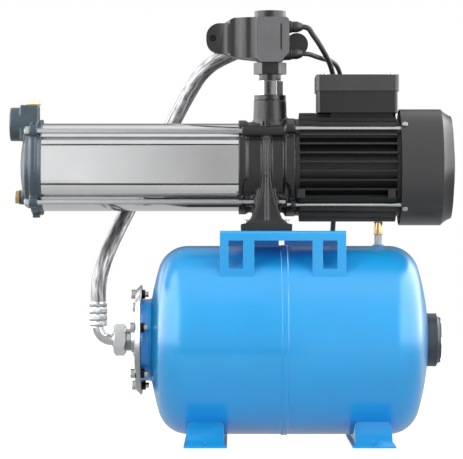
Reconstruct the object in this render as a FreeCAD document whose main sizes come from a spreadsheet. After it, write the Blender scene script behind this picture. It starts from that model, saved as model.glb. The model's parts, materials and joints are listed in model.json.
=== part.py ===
"""Booster set: a horizontal multistage pump on a steel diaphragm tank.

Row frame in millimetres: +X towards the motor's fan, +Y to the back, +Z up.
The origin is on the floor, in the middle of the four foot bolts.
"""
import FreeCAD, Part
import math
import os
from types import SimpleNamespace
import Sketcher

Vector = FreeCAD.Vector
Rotation = FreeCAD.Rotation

SIZES = {
    # diaphragm tank: lifted off the floor by its feet
    "tank_r": 140, "tank_wall": 1.5, "tank_lift": 12, "tank_straight_half": 149,
    "crown_r": 380, "knuckle_r": 45, "seam_x": -8, "seam_lap": 8, "lap_gap": 0.1,
    "neck_r": 60.5, "neck_wall": 3, "neck_length": 70, "neck_ring_r": 75.5, "neck_ring_t": 3,
    "lip_t": 3, "lip_inner_r": 46, "lip_outer_r": 65, "bag_t": 2, "bag_gap": 28, "bag_end_gap": 66.25,
    "flange_t": 3.5, "flange_face_r": 74, "flange_rim_r": 82, "flange_rim_depth": 8, "flange_rise": 2,
    "flange_bolts": 6, "flange_first_bolt": 42.5, "flange_bolt_ring_r": 70, "flange_bolt_r": 4, "flange_nut_r": 7.2, "flange_nut_t": 6.5,
    "spigot_r": 16.6, "spigot_bore_r": 12, "spigot_boss_r": 18.5, "spigot_boss_t": 5, "spigot_length": 14,
    # feet
    "foot_spacing": 245, "foot_half": 27, "foot_rim_half": 31.5, "foot_reach": 120, "foot_crease_in": 19,
    "foot_crease_z": 11, "foot_wrap": 24, "foot_sheet": 2.5, "foot_corner_r": 9,
    "foot_bolt_in": 8, "foot_bolt_r": 4.5,
    # air valve and its cap: how far they stand out of the crown
    "valve_r": 4, "valve_nut_r": 8.5, "valve_nut_t": 4, "valve_out": 13.25, "valve_pin_r": 1, "valve_pin_gap": 0.06,
    "cap_r": 39.5, "cap_out": 18.25, "cap_wall": 2, "cap_edge_r": 6, "cap_gap": 0.3, "cap_grip_ring_r": 30,
    "cap_grip_r": 6,
    # blue pump bracket: its height over the tank's crown, and places of its windows below its top
    "bracket_left": -101.5, "bracket_length": 183.8, "bracket_rise": 22.5, "bracket_half": 102,
    "bracket_sheet": 3, "bracket_bend_r": 5, "window_drop": 14.2, "window_height": 40.9, "window_in": 12.5,
    "window_width": 21.4, "window_pitch": 137.2, "gap_in": 50, "gap_length": 84.8, "notch_half": 4,
    # pump barrel: the axis stands over the bracket's top
    "pump_rise": 94.5, "shell_r": 65.2, "shell_wall": 2, "shell_length": 301, "shell_right": -69,
    "shell_socket": 5, "fit_gap": 0.2, "rod_ring_r": 73.5, "rod_r": 4, "rod_nut_r": 7.2, "rod_nut_t": 6,
    # suction casing: lengths out from the shell's left end, heights over the pump axis
    "cover_out": 28, "suction_flange_out": 12, "rod_end": 1.5, "suction_flange_r": 71, "suction_cover_r": 60,
    "port_out": 43.8, "port_rise": 64, "port_r": 25, "port_bore_r": 15.15, "port_depth": 21,
    "tower_half": 21, "tower_rise": 92.4, "chamber_out": 22, "chamber_r": 14, "eye_r": 22,
    "plug_out": 9.5, "plug_hex_r": 10.8, "plug_head_t": 6, "plug_shank_r": 6.5, "plug_shank": 12, "washer_t": 1.1,
    "drain_drop": 44.5, "drain_boss_r": 11, "tab_half": 12, "tab_out": 10, "tab_drop": 75,
    # hydraulic stages
    "stages": 7, "stage_in": 4, "stage_pitch": 40, "bowl_wall": 1.5, "bowl_gap": 0.3, "bowl_bore_r": 23,
    "vane_gap": 5, "vane_t": 2, "vanes": 5, "impeller_gap": 11, "impeller_w": 9, "impeller_eye_r": 21, "hub_r": 13,
    "spacer_r": 12.8, "running_gap": 1,
    # rotor
    "shaft_r": 9, "shaft_out": 6, "shaft_gap": 0.05,
    # discharge casing with the motor lantern and foot
    "drum_r": 67, "drum_right": -5, "lantern_flange_t": 15, "lantern_flange_r": 73, "water_right": -31,
    "water_wall": 9, "seal_wall": 8, "dry_r": 52, "outlet_x": -27, "boss_r": 24, "boss_rise": 99.5,
    "boss_bore_r": 15.15, "base_left": -70.6, "base_length": 75.1, "base_half": 75, "base_t": 10.5,
    "web_neck_half": 11, "web_low_half": 21, "web_neck_drop": 19, "web_low_rise": 22.5, "web_flare_r": 20,
    "foot_bolt_x": 27, "foot_bolt_y": 60, "rib_half": 1.5, "arch_half": 42, "arch_rise": 13,
    # motor
    "motor_length": 154.7, "frame_r": 64, "frame_wall": 6, "fin_depth": 17, "fin_pitch": 13.4, "fin_t": 2.6,
    "fins": 8, "stay_ring_r": 79, "stay_r": 3, "stay_head_r": 5.2, "core_in": 36, "core_length": 80,
    "core_bore_r": 33, "air_gap": 0.4, "winding_gap": 4, "winding_length": 14, "bearing_r": 20, "bearing_w": 12,
    "bearing_in": 4, "shield_t": 11, "shield_r": 80, "fan_in": 19.3, "fan_hub_r": 16, "fan_gap": 18.8, "fan_w": 18,
    "fan_blades": 7, "blade_t": 3, "cover_r": 86.4, "cover_wall": 1.6, "cover_length": 76.8, "cover_shoulder": 15.5,
    "cover_face_in": 10.4, "cover_dome": 4, "slot_w": 3.4, "slot_pitch": 7.2, "slots": 13, "grille_r": 62,
    # terminal box: its place along the motor, and its heights
    "box_in": 32.5, "box_length": 118.1, "box_half": 48, "box_rise": 79.5, "box_depth": 32.1, "lid_depth": 24.2,
    "box_wall": 3, "lid_over": 2, "lid_corner_r": 5, "pedestal_in": 19.5, "pedestal_length": 92,
    "pedestal_half": 34, "capacitor_r": 17, "capacitor_length": 80, "terminals": 4,
    # pressure controller, stacked on the outlet boss
    "washer_seal_t": 7.8, "nipple_hex_r": 19.3, "nipple_hex_t": 21.4, "nipple_r": 14.9, "nipple_bore_r": 11,
    "washer_ring_r": 23.5, "ring_seal_t": 9.7, "seal_ring_r": 16.3, "collar_hex_r": 24.5, "collar_t": 16.2,
    "ctrl_throat": 8.4, "ctrl_height": 58.2, "ctrl_top_t": 11.3, "ctrl_top_r": 23.2, "ctrl_half": 44,
    "ctrl_left": -95, "ctrl_right": 1, "panel_left": -46, "panel_right": -10, "ctrl_cover_y": 14, "ctrl_seam": 0.4,
    "ear_out": 27, "ear_rise": 6, "ear_height": 45, "ear_half": 12, "ear_round_r": 20,
    "outlet_bore_r": 15.15, "passage_r": 17, "poppet_r": 15, "poppet_t": 4, "poppet_stem_r": 3, "poppet_lift": 8,
    "seat_r": 12, "button_r": 7, "button_gap": 0.3, "button_out": 4, "button_travel": 2.5,
    "gland_y": 0, "gland_r": 8.2, "gland_length": 19, "gland_bore_r": 4.3,
    # hose to the tank
    "hose_r": 11.5, "hose_y": 70, "ferrule_r": 13.2, "ferrule_length": 37, "elbow_tube_r": 8, "elbow_bend_r": 20,
    "union_r": 23.6, "union_t": 18.5, "union_gap": 8, "union_collar_r": 10, "union_stub": 3, "tail_r": 7,
    "upper_elbow_x": -16, "upper_elbow_rise": 36, "upper_elbow_tilt": 20, "upper_elbow_bend_r": 17,
    # support pillar, over the tank's crown
    "pillar_x": 134, "pillar_r": 6.6, "pillar_foot_r": 5.6, "pillar_flange_r": 9, "pillar_flange_t": 2,
    "pillar_foot_rise": 16, "pillar_gap": 0.3,
    # leads
    "pump_lead_r": 3.6, "mains_lead_r": 4, "coil_x": 0, "coil_y": 208, "coil_mean_r": 44,
    "plug_relief": 28, "plug_length": 36, "plug_half_w": 18, "plug_pin_r": 2.4, "plug_pin_length": 19,
    "plug_pin_pitch": 19,
    # small screws of the fan cover and the terminal box lid
    "screw_r": 2, "screw_gap": 0.2, "screw_head_r": 4.2, "screw_head_t": 2.2, "wire_way_r": 8,
}


class Size:
    """A length: its value now, and the sheet expression that keeps it bound."""

    def __init__(self, value, text):
        self.value = float(value)
        self.text = text

    def __add__(self, other):
        other = as_size(other)
        return Size(self.value + other.value, f"({self.text} + {other.text})")

    def __sub__(self, other):
        other = as_size(other)
        return Size(self.value - other.value, f"({self.text} - {other.text})")

    def __mul__(self, other):
        other = as_size(other)
        return Size(self.value * other.value, f"({self.text} * {other.text})")

    def __truediv__(self, other):
        other = as_size(other)
        return Size(self.value / other.value, f"({self.text} / {other.text})")

    def __radd__(self, other):
        return as_size(other) + self

    def __rsub__(self, other):
        return as_size(other) - self

    def __rmul__(self, other):
        return as_size(other) * self

    def __neg__(self):
        return Size(-self.value, f"(0 - {self.text})")


def as_size(number):
    if isinstance(number, Size):
        return number
    return Size(number, f"({float(number):.6f})")


def root(length):
    length = as_size(length)
    return Size(math.sqrt(length.value), f"sqrt({length.text})")


def cosine(degrees):
    return as_size(math.cos(math.radians(degrees)))


def sine(degrees):
    return as_size(math.sin(math.radians(degrees)))


doc = FreeCAD.newDocument("booster_set")
sheet = doc.addObject("Spreadsheet::Sheet", "Sizes")
for row, (name, number) in enumerate(SIZES.items(), 1):
    sheet.set(f"A{row}", name)
    sheet.set(f"B{row}", str(number))
    sheet.setAlias(f"B{row}", name)
doc.recompute()
s = SimpleNamespace(**{name: Size(number, f"Sizes.{name}") for name, number in SIZES.items()})

# places that follow from the sizes, from the floor up and from the barrel out
s.tank_axis_z = s.tank_r + s.tank_lift
s.tank_top = s.tank_axis_z + s.tank_r
s.bag_r = s.tank_r - s.bag_gap
s.foot_crease_y = s.foot_reach - s.foot_crease_in
s.foot_top_z = s.tank_lift + s.foot_wrap
s.foot_bolt_span = (s.foot_reach - s.foot_bolt_in) * 2
s.bracket_right = s.bracket_left + s.bracket_length
s.bracket_top = s.tank_top + s.bracket_rise
s.window_high = s.bracket_top - s.window_drop
s.window_low = s.window_high - s.window_height
s.window_left = s.bracket_left + s.window_in
s.gap_left = s.bracket_left + s.gap_in
s.gap_right = s.gap_left + s.gap_length
s.pump_axis_z = s.bracket_top + s.pump_rise
s.shell_left = s.shell_right - s.shell_length
s.suction_left = s.shell_left - s.cover_out
s.suction_flange_left = s.shell_left - s.suction_flange_out
s.port_face_x = s.shell_left - s.port_out
s.port_z = s.pump_axis_z + s.port_rise
s.tower_top = s.pump_axis_z + s.tower_rise
s.chamber_left = s.shell_left - s.chamber_out
s.plug_x = s.shell_left - s.plug_out
s.drain_z = s.pump_axis_z - s.drain_drop
s.tab_left = s.shell_left - s.tab_out
s.tab_low = s.pump_axis_z - s.tab_drop
s.stage_left = s.shell_left + s.stage_in
s.vane_r = s.shell_r - s.shell_wall - s.vane_gap
s.impeller_r = s.shell_r - s.shell_wall - s.impeller_gap
s.shaft_left = s.shell_left - s.shaft_out
s.lantern_right = s.drum_right + s.lantern_flange_t
s.water_r = s.drum_r - s.water_wall
s.boss_top = s.pump_axis_z + s.boss_rise
s.base_right = s.base_left + s.base_length
s.web_neck_z = s.pump_axis_z - s.web_neck_drop
s.web_low_z = s.bracket_top + s.web_low_rise
s.motor_right = s.lantern_right + s.motor_length
s.frame_bore_r = s.frame_r - s.frame_wall
s.fin_r = s.frame_r + s.fin_depth
s.core_left = s.lantern_right + s.core_in
s.core_right = s.core_left + s.core_length
s.winding_r = s.frame_bore_r - s.winding_gap
s.bearing_left = s.lantern_right + s.bearing_in
s.fan_left = s.motor_right + s.fan_in
s.shaft_right = s.fan_left + s.fan_w + s.bearing_in + s.running_gap
s.fan_r = s.cover_r - s.cover_wall - s.fan_gap
s.cover_right = s.motor_right + s.cover_length
s.cover_shoulder_x = s.cover_right - s.cover_shoulder
s.cover_face_r = s.cover_r - s.cover_face_in
s.box_left = s.lantern_right + s.box_in
s.box_right = s.box_left + s.box_length
s.box_low = s.pump_axis_z + s.box_rise
s.box_split = s.box_low + s.box_depth
s.box_top = s.box_split + s.lid_depth
s.pedestal_left = s.box_left + s.pedestal_in
s.pedestal_right = s.pedestal_left + s.pedestal_length
s.nipple_hex_low = s.boss_top + s.washer_seal_t
s.nipple_hex_high = s.nipple_hex_low + s.nipple_hex_t
s.collar_low = s.nipple_hex_high + s.ring_seal_t
s.collar_high = s.collar_low + s.collar_t
s.ctrl_low = s.collar_high + s.ctrl_throat
s.ctrl_high = s.ctrl_low + s.ctrl_height
s.ctrl_top = s.ctrl_high + s.ctrl_top_t
s.ear_left = s.ctrl_left - s.ear_out
s.ear_low = s.ctrl_low + s.ear_rise
s.ear_high = s.ear_low + s.ear_height
s.upper_elbow_z = s.ctrl_low + s.upper_elbow_rise
s.pillar_foot_top = s.tank_top + s.pillar_foot_rise

TURN_TO = {
    "x": Rotation(Vector(0, 1, 0), 90),
    "y": Rotation(Vector(1, 0, 0), -90),
    "z": Rotation(),
}
TURN_X_TO = {
    "x": Rotation(),
    "y": Rotation(Vector(0, 0, 1), 90),
    "z": Rotation(Vector(0, 1, 0), -90),
}
NODES = []
M8_BOLTS = []
M8_NUTS = []
CASE_SCREWS = []


def bind(thing, prop, length):
    """Tie one property of an object to the sheet."""
    thing.setExpression(prop, as_size(length).text)


def place(thing, at, turn=Rotation()):
    """Put an object at a point of the row frame, with a fixed turn."""
    thing.Placement = FreeCAD.Placement(Vector(*[as_size(c).value for c in at]), turn)
    for letter, length in zip("xyz", at):
        bind(thing, f"Placement.Base.{letter}", length)
    return thing


def start_of(axis, low, at):
    """Where a bar along an axis starts: at gives its other two coordinates."""
    return {"x": (low, at[0], at[1]), "y": (at[0], low, at[1]), "z": (at[0], at[1], low)}[axis]


def rod(name, radius, axis, low, high, at, turn=None):
    """Round bar along an axis."""
    bar = doc.addObject("Part::Cylinder", name)
    bind(bar, "Radius", radius)
    bind(bar, "Height", as_size(high) - low)
    return place(bar, start_of(axis, low, at), turn or TURN_TO[axis])


def hexagon(name, radius, axis, low, high, at, first=0):
    """Hexagonal bar along an axis; radius is over its corners."""
    bar = doc.addObject("Part::Prism", name)
    bar.Polygon = 6
    bind(bar, "Circumradius", radius)
    bind(bar, "Height", as_size(high) - low)
    return place(bar, start_of(axis, low, at), TURN_TO[axis] * Rotation(Vector(0, 0, 1), first))


def block(name, x_span, y_span, z_span):
    """Box between two corners."""
    box = doc.addObject("Part::Box", name)
    for prop, span in (("Length", x_span), ("Width", y_span), ("Height", z_span)):
        bind(box, prop, as_size(span[1]) - span[0])
    return place(box, (x_span[0], y_span[0], z_span[0]))


def sketch_on(body, role):
    sketch = body.newObject("Sketcher::SketchObject", body.Name + "Sketch")
    plane = [f for f in body.Origin.OriginFeatures if f.Role == role][0]
    sketch.AttachmentSupport = [(plane, "")]
    sketch.MapMode = "FlatFace"
    return sketch


def add_loop(sketch, points):
    """Closed outline. A point is (x, y), or (x, y, r) where an arc of radius r reaches it.

    A positive radius bulges to the right of the way from the last point to this one.
    """
    spots = [Vector(as_size(p[0]).value, as_size(p[1]).value, 0) for p in points]
    ends = []
    for i, point in enumerate(points):
        a, b = spots[i - 1], spots[i]
        if len(point) == 2:
            edge = Part.LineSegment(a, b)
        else:
            radius = as_size(point[2]).value
            chord = b - a
            rise = abs(radius) - math.sqrt(max(radius ** 2 - (chord.Length / 2) ** 2, 0))
            side = Vector(chord.y, -chord.x, 0).normalize() * math.copysign(rise, radius)
            edge = Part.Arc(a, (a + b) * 0.5 + side, b)
        index = sketch.addGeometry(edge, False)
        near = (sketch.getPoint(index, 1) - a).Length < (sketch.getPoint(index, 2) - a).Length
        ends.append((index, 1, 2) if near else (index, 2, 1))
    for i, point in enumerate(points):
        index, first, last = ends[i]
        after = ends[(i + 1) % len(points)]
        sketch.addConstraint(Sketcher.Constraint("Coincident", index, last, after[0], after[1]))
        for kind, length in (("DistanceX", point[0]), ("DistanceY", point[1])):
            length = as_size(length)
            held = sketch.addConstraint(Sketcher.Constraint(kind, -1, 1, index, last, length.value))
            sketch.setExpression(f"Constraints[{held}]", length.text)
        if len(point) == 3:
            radius = as_size(point[2])
            if radius.value < 0:
                radius = -radius
            held = sketch.addConstraint(Sketcher.Constraint("Radius", index, radius.value))
            sketch.setExpression(f"Constraints[{held}]", radius.text)


def turned(name, points, axis, at, angle=360):
    """Turned piece: (along, radius) outline spun about an axis."""
    body = doc.addObject("PartDesign::Body", name)
    sketch = sketch_on(body, "XZ_Plane")
    add_loop(sketch, points)
    spin = body.newObject("PartDesign::Revolution", name + "Turn")
    spin.Profile = sketch
    spin.ReferenceAxis = (sketch, ["H_Axis"])
    spin.Angle = angle
    sketch.Visibility = False
    return place(body, start_of(axis, 0, at), TURN_X_TO[axis])


def profile(name, axis, low, high, *loops):
    """Extruded piece: outlines in the plane across an axis, from low to high.

    Across X an outline is (y, z), across Y it is (x, z), across Z it is (x, y).
    """
    body = doc.addObject("PartDesign::Body", name)
    sketch = sketch_on(body, {"x": "YZ_Plane", "y": "XZ_Plane", "z": "XY_Plane"}[axis])
    for points in loops:
        add_loop(sketch, points)
    pad = body.newObject("PartDesign::Pad", name + "Pad")
    pad.Profile = sketch
    bind(pad, "Length", as_size(high) - low)
    foot = high if axis == "y" else low
    return place(body, start_of(axis, foot, (0, 0)))


def fuse(name, *parts):
    """Pieces welded or cast as one."""
    joined = doc.addObject("Part::MultiFuse", name)
    joined.Shapes = list(parts)
    joined.Refine = True
    return joined


def common(name, *parts):
    """What several pieces have in common."""
    shared = doc.addObject("Part::MultiCommon", name)
    shared.Shapes = list(parts)
    return shared


def cut(name, base, *tools):
    """A piece with holes or hollows cut in it."""
    carved = doc.addObject("Part::Cut", name)
    carved.Base = base
    carved.Tool = tools[0] if len(tools) == 1 else fuse(name + "Tools", *tools)
    carved.Refine = True
    return carved


def group(name, *parts):
    """Separate solids kept in one node."""
    gathered = doc.addObject("Part::Compound", name)
    gathered.Links = list(parts)
    return gathered


def node(name, thing):
    """Name a finished sub-part."""
    thing.Label = name
    NODES.append(thing)
    return thing


def ring_points(radius, angles, centre_z):
    """(y, z) of places on a circle about a line along X."""
    return [(radius * cosine(a), centre_z + radius * sine(a)) for a in angles]


AXIS = (0, s.pump_axis_z)
TANK = (0, s.tank_axis_z)


def tank_shell():
    """Two drawn steel halves; the right one laps over the left one at the girth seam."""
    knuckle_c = s.tank_r - s.knuckle_r
    reach = root((s.crown_r - s.knuckle_r) * (s.crown_r - s.knuckle_r) - knuckle_c * knuckle_c)
    crown_x = s.tank_straight_half - reach
    s.neck_end_x = -s.tank_straight_half - s.neck_length
    s.bag_end_x = crown_x + s.crown_r - s.tank_wall - s.bag_end_gap
    share = s.crown_r / (s.crown_r - s.knuckle_r)
    inner_share = (s.crown_r - s.tank_wall) / (s.crown_r - s.knuckle_r)
    tangent = (crown_x + reach * share, knuckle_c * share)
    inner_tangent = (crown_x + reach * inner_share, knuckle_c * inner_share)
    inner_r = s.tank_r - s.tank_wall
    inner_crown = s.crown_r - s.tank_wall

    def on_crown(radius, crown):
        return crown_x + root(crown * crown - radius * radius)

    hole = s.valve_r + s.lap_gap
    seam = s.seam_x + s.seam_lap / 2
    lap_start = s.seam_x - s.seam_lap / 2
    lap_r = s.tank_r + s.lap_gap
    right = turned("RightHalf", [
        (on_crown(hole, s.crown_r), hole),
        (tangent[0], tangent[1], s.crown_r),
        (s.tank_straight_half, s.tank_r, s.knuckle_r),
        (seam + 2 * s.tank_wall, s.tank_r),
        (seam + s.tank_wall, lap_r + s.tank_wall),
        (lap_start, lap_r + s.tank_wall),
        (lap_start, lap_r),
        (seam + s.tank_wall / 2, lap_r),
        (seam + 2 * s.tank_wall, inner_r),
        (s.tank_straight_half, inner_r),
        (inner_tangent[0], inner_tangent[1], s.tank_wall - s.knuckle_r),
        (on_crown(hole, inner_crown), hole, -inner_crown),
    ], "x", TANK)
    node("tank_half_valve_side", right)
    neck_inner = s.neck_r - s.neck_wall
    left = turned("LeftHalf", [
        (-on_crown(s.neck_r, s.crown_r), s.neck_r),
        (-tangent[0], tangent[1], -s.crown_r),
        (-s.tank_straight_half, s.tank_r, -s.knuckle_r),
        (seam, s.tank_r),
        (seam, inner_r),
        (-s.tank_straight_half, inner_r),
        (-inner_tangent[0], inner_tangent[1], s.knuckle_r - s.tank_wall),
        (-on_crown(neck_inner, inner_crown), neck_inner, inner_crown),
        (s.neck_end_x, neck_inner),
        (s.neck_end_x, s.neck_r),
    ], "x", TANK)
    ring = turned("NeckRing", [
        (s.neck_end_x - s.neck_ring_t, neck_inner), (s.neck_end_x - s.neck_ring_t, s.neck_ring_r),
        (s.neck_end_x, s.neck_ring_r), (s.neck_end_x, neck_inner)], "x", TANK)
    angles = flange_angles()
    holes = [rod(f"NeckHole{i}", s.flange_bolt_r + s.fit_gap, "x", s.neck_end_x - 2 * s.neck_ring_t,
                 s.neck_end_x + s.neck_ring_t, spot)
             for i, spot in enumerate(ring_points(s.flange_bolt_ring_r, angles, s.tank_axis_z))]
    node("tank_half_flange_side", cut("LeftHalfDone", fuse("LeftHalfNeck", left, ring), *holes))
    return crown_x


def flange_angles():
    count = int(s.flange_bolts.value)
    return [s.flange_first_bolt.value + 360 * i / count for i in range(count)]


def tank_flange():
    """Membrane, counterflange with its threaded spigot, bolts and nuts."""
    ring_face = s.neck_end_x - s.neck_ring_t
    plate_face = ring_face - s.lip_t
    neck_bore = s.neck_r - s.neck_wall
    bag_neck = s.lip_inner_r
    inner_bag = s.bag_r - s.bag_t
    membrane = turned("Membrane", [
        (plate_face, bag_neck), (plate_face, s.lip_outer_r), (ring_face, s.lip_outer_r - s.bag_t),
        (ring_face, neck_bore - s.bag_t), (s.neck_end_x + s.lip_outer_r / 2, neck_bore - s.bag_t),
        (-s.tank_straight_half, s.bag_r), (s.bag_end_x - s.knuckle_r, s.bag_r),
        (s.bag_end_x, s.bag_r / 2), (s.bag_end_x, 0),
        (s.bag_end_x - s.bag_t, 0), (s.bag_end_x - s.bag_t, s.bag_r / 2 - s.bag_t),
        (s.bag_end_x - s.knuckle_r - s.bag_t, inner_bag), (-s.tank_straight_half, inner_bag),
        (s.neck_end_x + s.lip_outer_r / 2, bag_neck),
    ], "x", TANK)
    node("tank_membrane", membrane)
    front = plate_face - s.flange_t
    boss = front - s.spigot_boss_t
    plate = turned("Counterflange", [
        (plate_face, s.spigot_bore_r), (plate_face, s.flange_face_r),
        (plate_face + s.flange_rim_depth, s.flange_rim_r - s.flange_t / 2),
        (plate_face + s.flange_rim_depth - s.flange_t / 2, s.flange_rim_r),
        (front + s.flange_rise, s.flange_face_r), (front, s.spigot_r * 2),
        (front, s.spigot_boss_r), (boss, s.spigot_boss_r), (boss, s.spigot_r),
        (boss - s.spigot_length, s.spigot_r), (boss - s.spigot_length, s.spigot_bore_r),
    ], "x", TANK)
    angles = flange_angles()
    spots = ring_points(s.flange_bolt_ring_r, angles, s.tank_axis_z)
    holes = [rod(f"FlangeHole{i}", s.flange_bolt_r + s.fit_gap, "x", boss, s.neck_end_x, spot)
             for i, spot in enumerate(spots)]
    seat = front + s.flange_rise
    seats = [rod(f"FlangeSeat{i}", s.flange_nut_r + 1, "x", boss, seat, spot) for i, spot in enumerate(spots)]
    node("tank_counterflange", cut("CounterflangeDone", plate, *holes, *seats))
    bolts = []
    nuts = []
    for i, (spot, angle) in enumerate(zip(spots, angles)):
        head = hexagon(f"FlangeHead{i}", s.flange_nut_r, "x", seat - s.flange_nut_t, seat, spot, angle)
        shank = rod(f"FlangeShank{i}", s.flange_bolt_r, "x", seat - 1, s.neck_end_x + s.flange_nut_t + 5, spot)
        bolts.append(fuse(f"FlangeBolt{i}", head, shank))
        nut = hexagon(f"FlangeNutBlank{i}", s.flange_nut_r, "x", s.neck_end_x, s.neck_end_x + s.flange_nut_t,
                      spot, angle)
        bore = rod(f"FlangeNutBore{i}", s.flange_bolt_r + s.fit_gap / 2, "x", s.neck_end_x - 1,
                   s.neck_end_x + s.flange_nut_t + 1, spot)
        nuts.append(cut(f"FlangeNut{i}", nut, bore))
    M8_BOLTS.extend(bolts)
    M8_NUTS.extend(nuts)
    return boss


def tank_feet():
    """Two pressed saddles with flared ends, welded under the tank."""
    tank = rod("TankForFeet", s.tank_r, "x", -s.foot_spacing, s.foot_spacing, TANK)
    for side, name in ((-1, "tank_foot_left"), (1, "tank_foot_right")):
        mid = s.foot_spacing / 2 * side
        crest_y = root(s.tank_r * s.tank_r
                       - (s.tank_axis_z - s.foot_top_z) * (s.tank_axis_z - s.foot_top_z))
        ends = profile(f"FootEnds{side}", "x", mid - s.foot_rim_half, mid + s.foot_rim_half, [
            (-s.foot_reach, 0), (-s.foot_reach, s.foot_sheet), (-s.foot_crease_y, s.foot_crease_z),
            (-crest_y, s.foot_top_z), (crest_y, s.foot_top_z), (s.foot_crease_y, s.foot_crease_z),
            (s.foot_reach, s.foot_sheet), (s.foot_reach, 0)])
        rim, flat, corner = s.foot_rim_half, s.foot_half, s.foot_corner_r
        face = profile(f"FootFace{side}", "y", -s.foot_reach, s.foot_reach, [
            (mid - rim, 0), (mid - rim, s.foot_sheet), (mid - flat, s.foot_sheet * 2),
            (mid - flat, s.foot_top_z - corner), (mid - flat + corner, s.foot_top_z, -corner),
            (mid + flat - corner, s.foot_top_z), (mid + flat, s.foot_top_z - corner, -corner),
            (mid + flat, s.foot_sheet * 2), (mid + rim, s.foot_sheet), (mid + rim, 0)])
        hollow_y = s.foot_crease_y - s.foot_sheet * 2
        hollow_half = flat - s.foot_sheet
        hollow = profile(f"FootHollow{side}", "x", mid - hollow_half, mid + hollow_half, [
            (-hollow_y, -1), (-hollow_y, s.foot_crease_z - s.foot_sheet), (s.foot_sheet - crest_y, s.foot_top_z + 1),
            (crest_y - s.foot_sheet, s.foot_top_z + 1), (hollow_y, s.foot_crease_z - s.foot_sheet),
            (hollow_y, -1)])
        holes = [rod(f"FootBolt{side}{end}", s.foot_bolt_r, "z", -1, s.foot_crease_z,
                     (mid, s.foot_bolt_span / 2 * end)) for end in (-1, 1)]
        node(name, cut(f"Foot{side}", common(f"FootBlank{side}", ends, face), tank, hollow, *holes))


def air_valve(crown_x):
    """Brass charging valve with its core pin, under a black screw cap."""
    apex = crown_x + s.crown_r
    s.valve_tip_x = apex + s.valve_out
    s.cap_end_x = apex + s.cap_out
    nut_top = apex + s.valve_nut_t
    stem = fuse("ValveStem",
                rod("ValveBarrel", s.valve_r, "x", apex - 2 * s.valve_nut_t, s.valve_tip_x, TANK),
                rod("ValveInnerFlange", s.valve_nut_r, "x", apex - 2 * s.valve_nut_t,
                    apex - s.tank_wall - s.lap_gap, TANK),
                hexagon("ValveNut", s.valve_nut_r, "x", apex, nut_top, TANK))
    bore_r = s.valve_pin_r + s.valve_pin_gap
    bore = rod("ValveBore", bore_r, "x", apex, s.valve_tip_x + 1, TANK)
    node("air_valve_stem", cut("ValveStemBored", stem, bore))
    pin = rod("ValvePin", s.valve_pin_r, "x", apex + s.valve_nut_t, s.valve_tip_x - s.valve_pin_gap, TANK)
    node("air_valve_pin", pin)
    rim_x = crown_x + root(s.crown_r * s.crown_r - s.cap_r * s.cap_r) + s.cap_gap
    inner = s.cap_r - s.cap_wall
    seat_x = crown_x + root(s.crown_r * s.crown_r - inner * inner) + s.cap_gap
    cap = turned("ValveCap", [
        (rim_x, s.cap_r), (s.cap_end_x - s.cap_edge_r, s.cap_r),
        (s.cap_end_x, s.cap_r - s.cap_edge_r, s.cap_edge_r), (s.cap_end_x, 0),
        (s.cap_end_x - s.cap_wall, 0), (s.cap_end_x - s.cap_wall, inner - s.cap_edge_r),
        (s.cap_end_x - s.cap_wall - s.cap_edge_r, inner), (seat_x, inner)], "x", TANK)
    scallops = [rod(f"CapGrip{i}", s.cap_grip_r, "x", s.cap_end_x - s.cap_wall / 2, s.cap_end_x + 1, spot)
                for i, spot in enumerate(ring_points(s.cap_grip_ring_r, range(0, 360, 60), s.tank_axis_z))]
    node("air_valve_cap", cut("ValveCapGripped", cap, *scallops))


def bracket():
    """Blue folded bracket: a top plate with two skirts welded to the tank."""
    half, sheet_t, bend = s.bracket_half, s.bracket_sheet, s.bracket_bend_r
    low = s.tank_axis_z + root(s.tank_r * s.tank_r - half * half)
    top = s.bracket_top
    fold = profile("BracketFold", "x", s.bracket_left, s.bracket_right, [
        (-half, low), (-half, top - bend), (bend - half, top, -bend), (half - bend, top),
        (half, top - bend, -bend), (half, low), (half - sheet_t, low),
        (half - sheet_t, top - bend), (half - bend, top - sheet_t, bend - sheet_t),
        (bend - half, top - sheet_t), (sheet_t - half, top - bend, bend - sheet_t), (sheet_t - half, low)])
    lap = s.seam_lap / 2
    openings = [rod("BracketTank", s.tank_r, "x", s.bracket_left - 1, s.bracket_right + 1, TANK),
                rod("BracketLap", s.tank_r + 2 * s.tank_wall, "x", s.seam_x - lap - 1,
                    s.seam_x + lap + 3 * s.tank_wall, TANK)]
    for i in range(2):
        left = s.window_left + s.window_pitch * i
        openings.append(block(f"BracketWindow{i}", (left, left + s.window_width), (-half - 1, -half / 2),
                              (s.window_low, s.window_high)))
    openings.append(block("BracketGap", (s.gap_left, s.gap_right), (-half - 1, -half / 2),
                          (low - 1, s.window_high)))
    openings.append(block("BracketNotch", (s.seam_x - s.notch_half, s.seam_x + s.notch_half),
                          (half / 2, half + 1), (s.window_high - 2 * s.notch_half, s.window_high)))
    for i, spot in enumerate(lantern_bolt_spots()):
        openings.append(rod(f"BracketHole{i}", s.rod_r + s.fit_gap, "z", top - 2 * sheet_t, top + 1, spot))
    node("pump_bracket", cut("Bracket", fold, *openings))


def lantern_bolt_spots():
    mid = (s.base_left + s.base_right) / 2
    return [(mid + s.foot_bolt_x * a, s.foot_bolt_y * b) for a in (-1, 1) for b in (-1, 1)]


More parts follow.
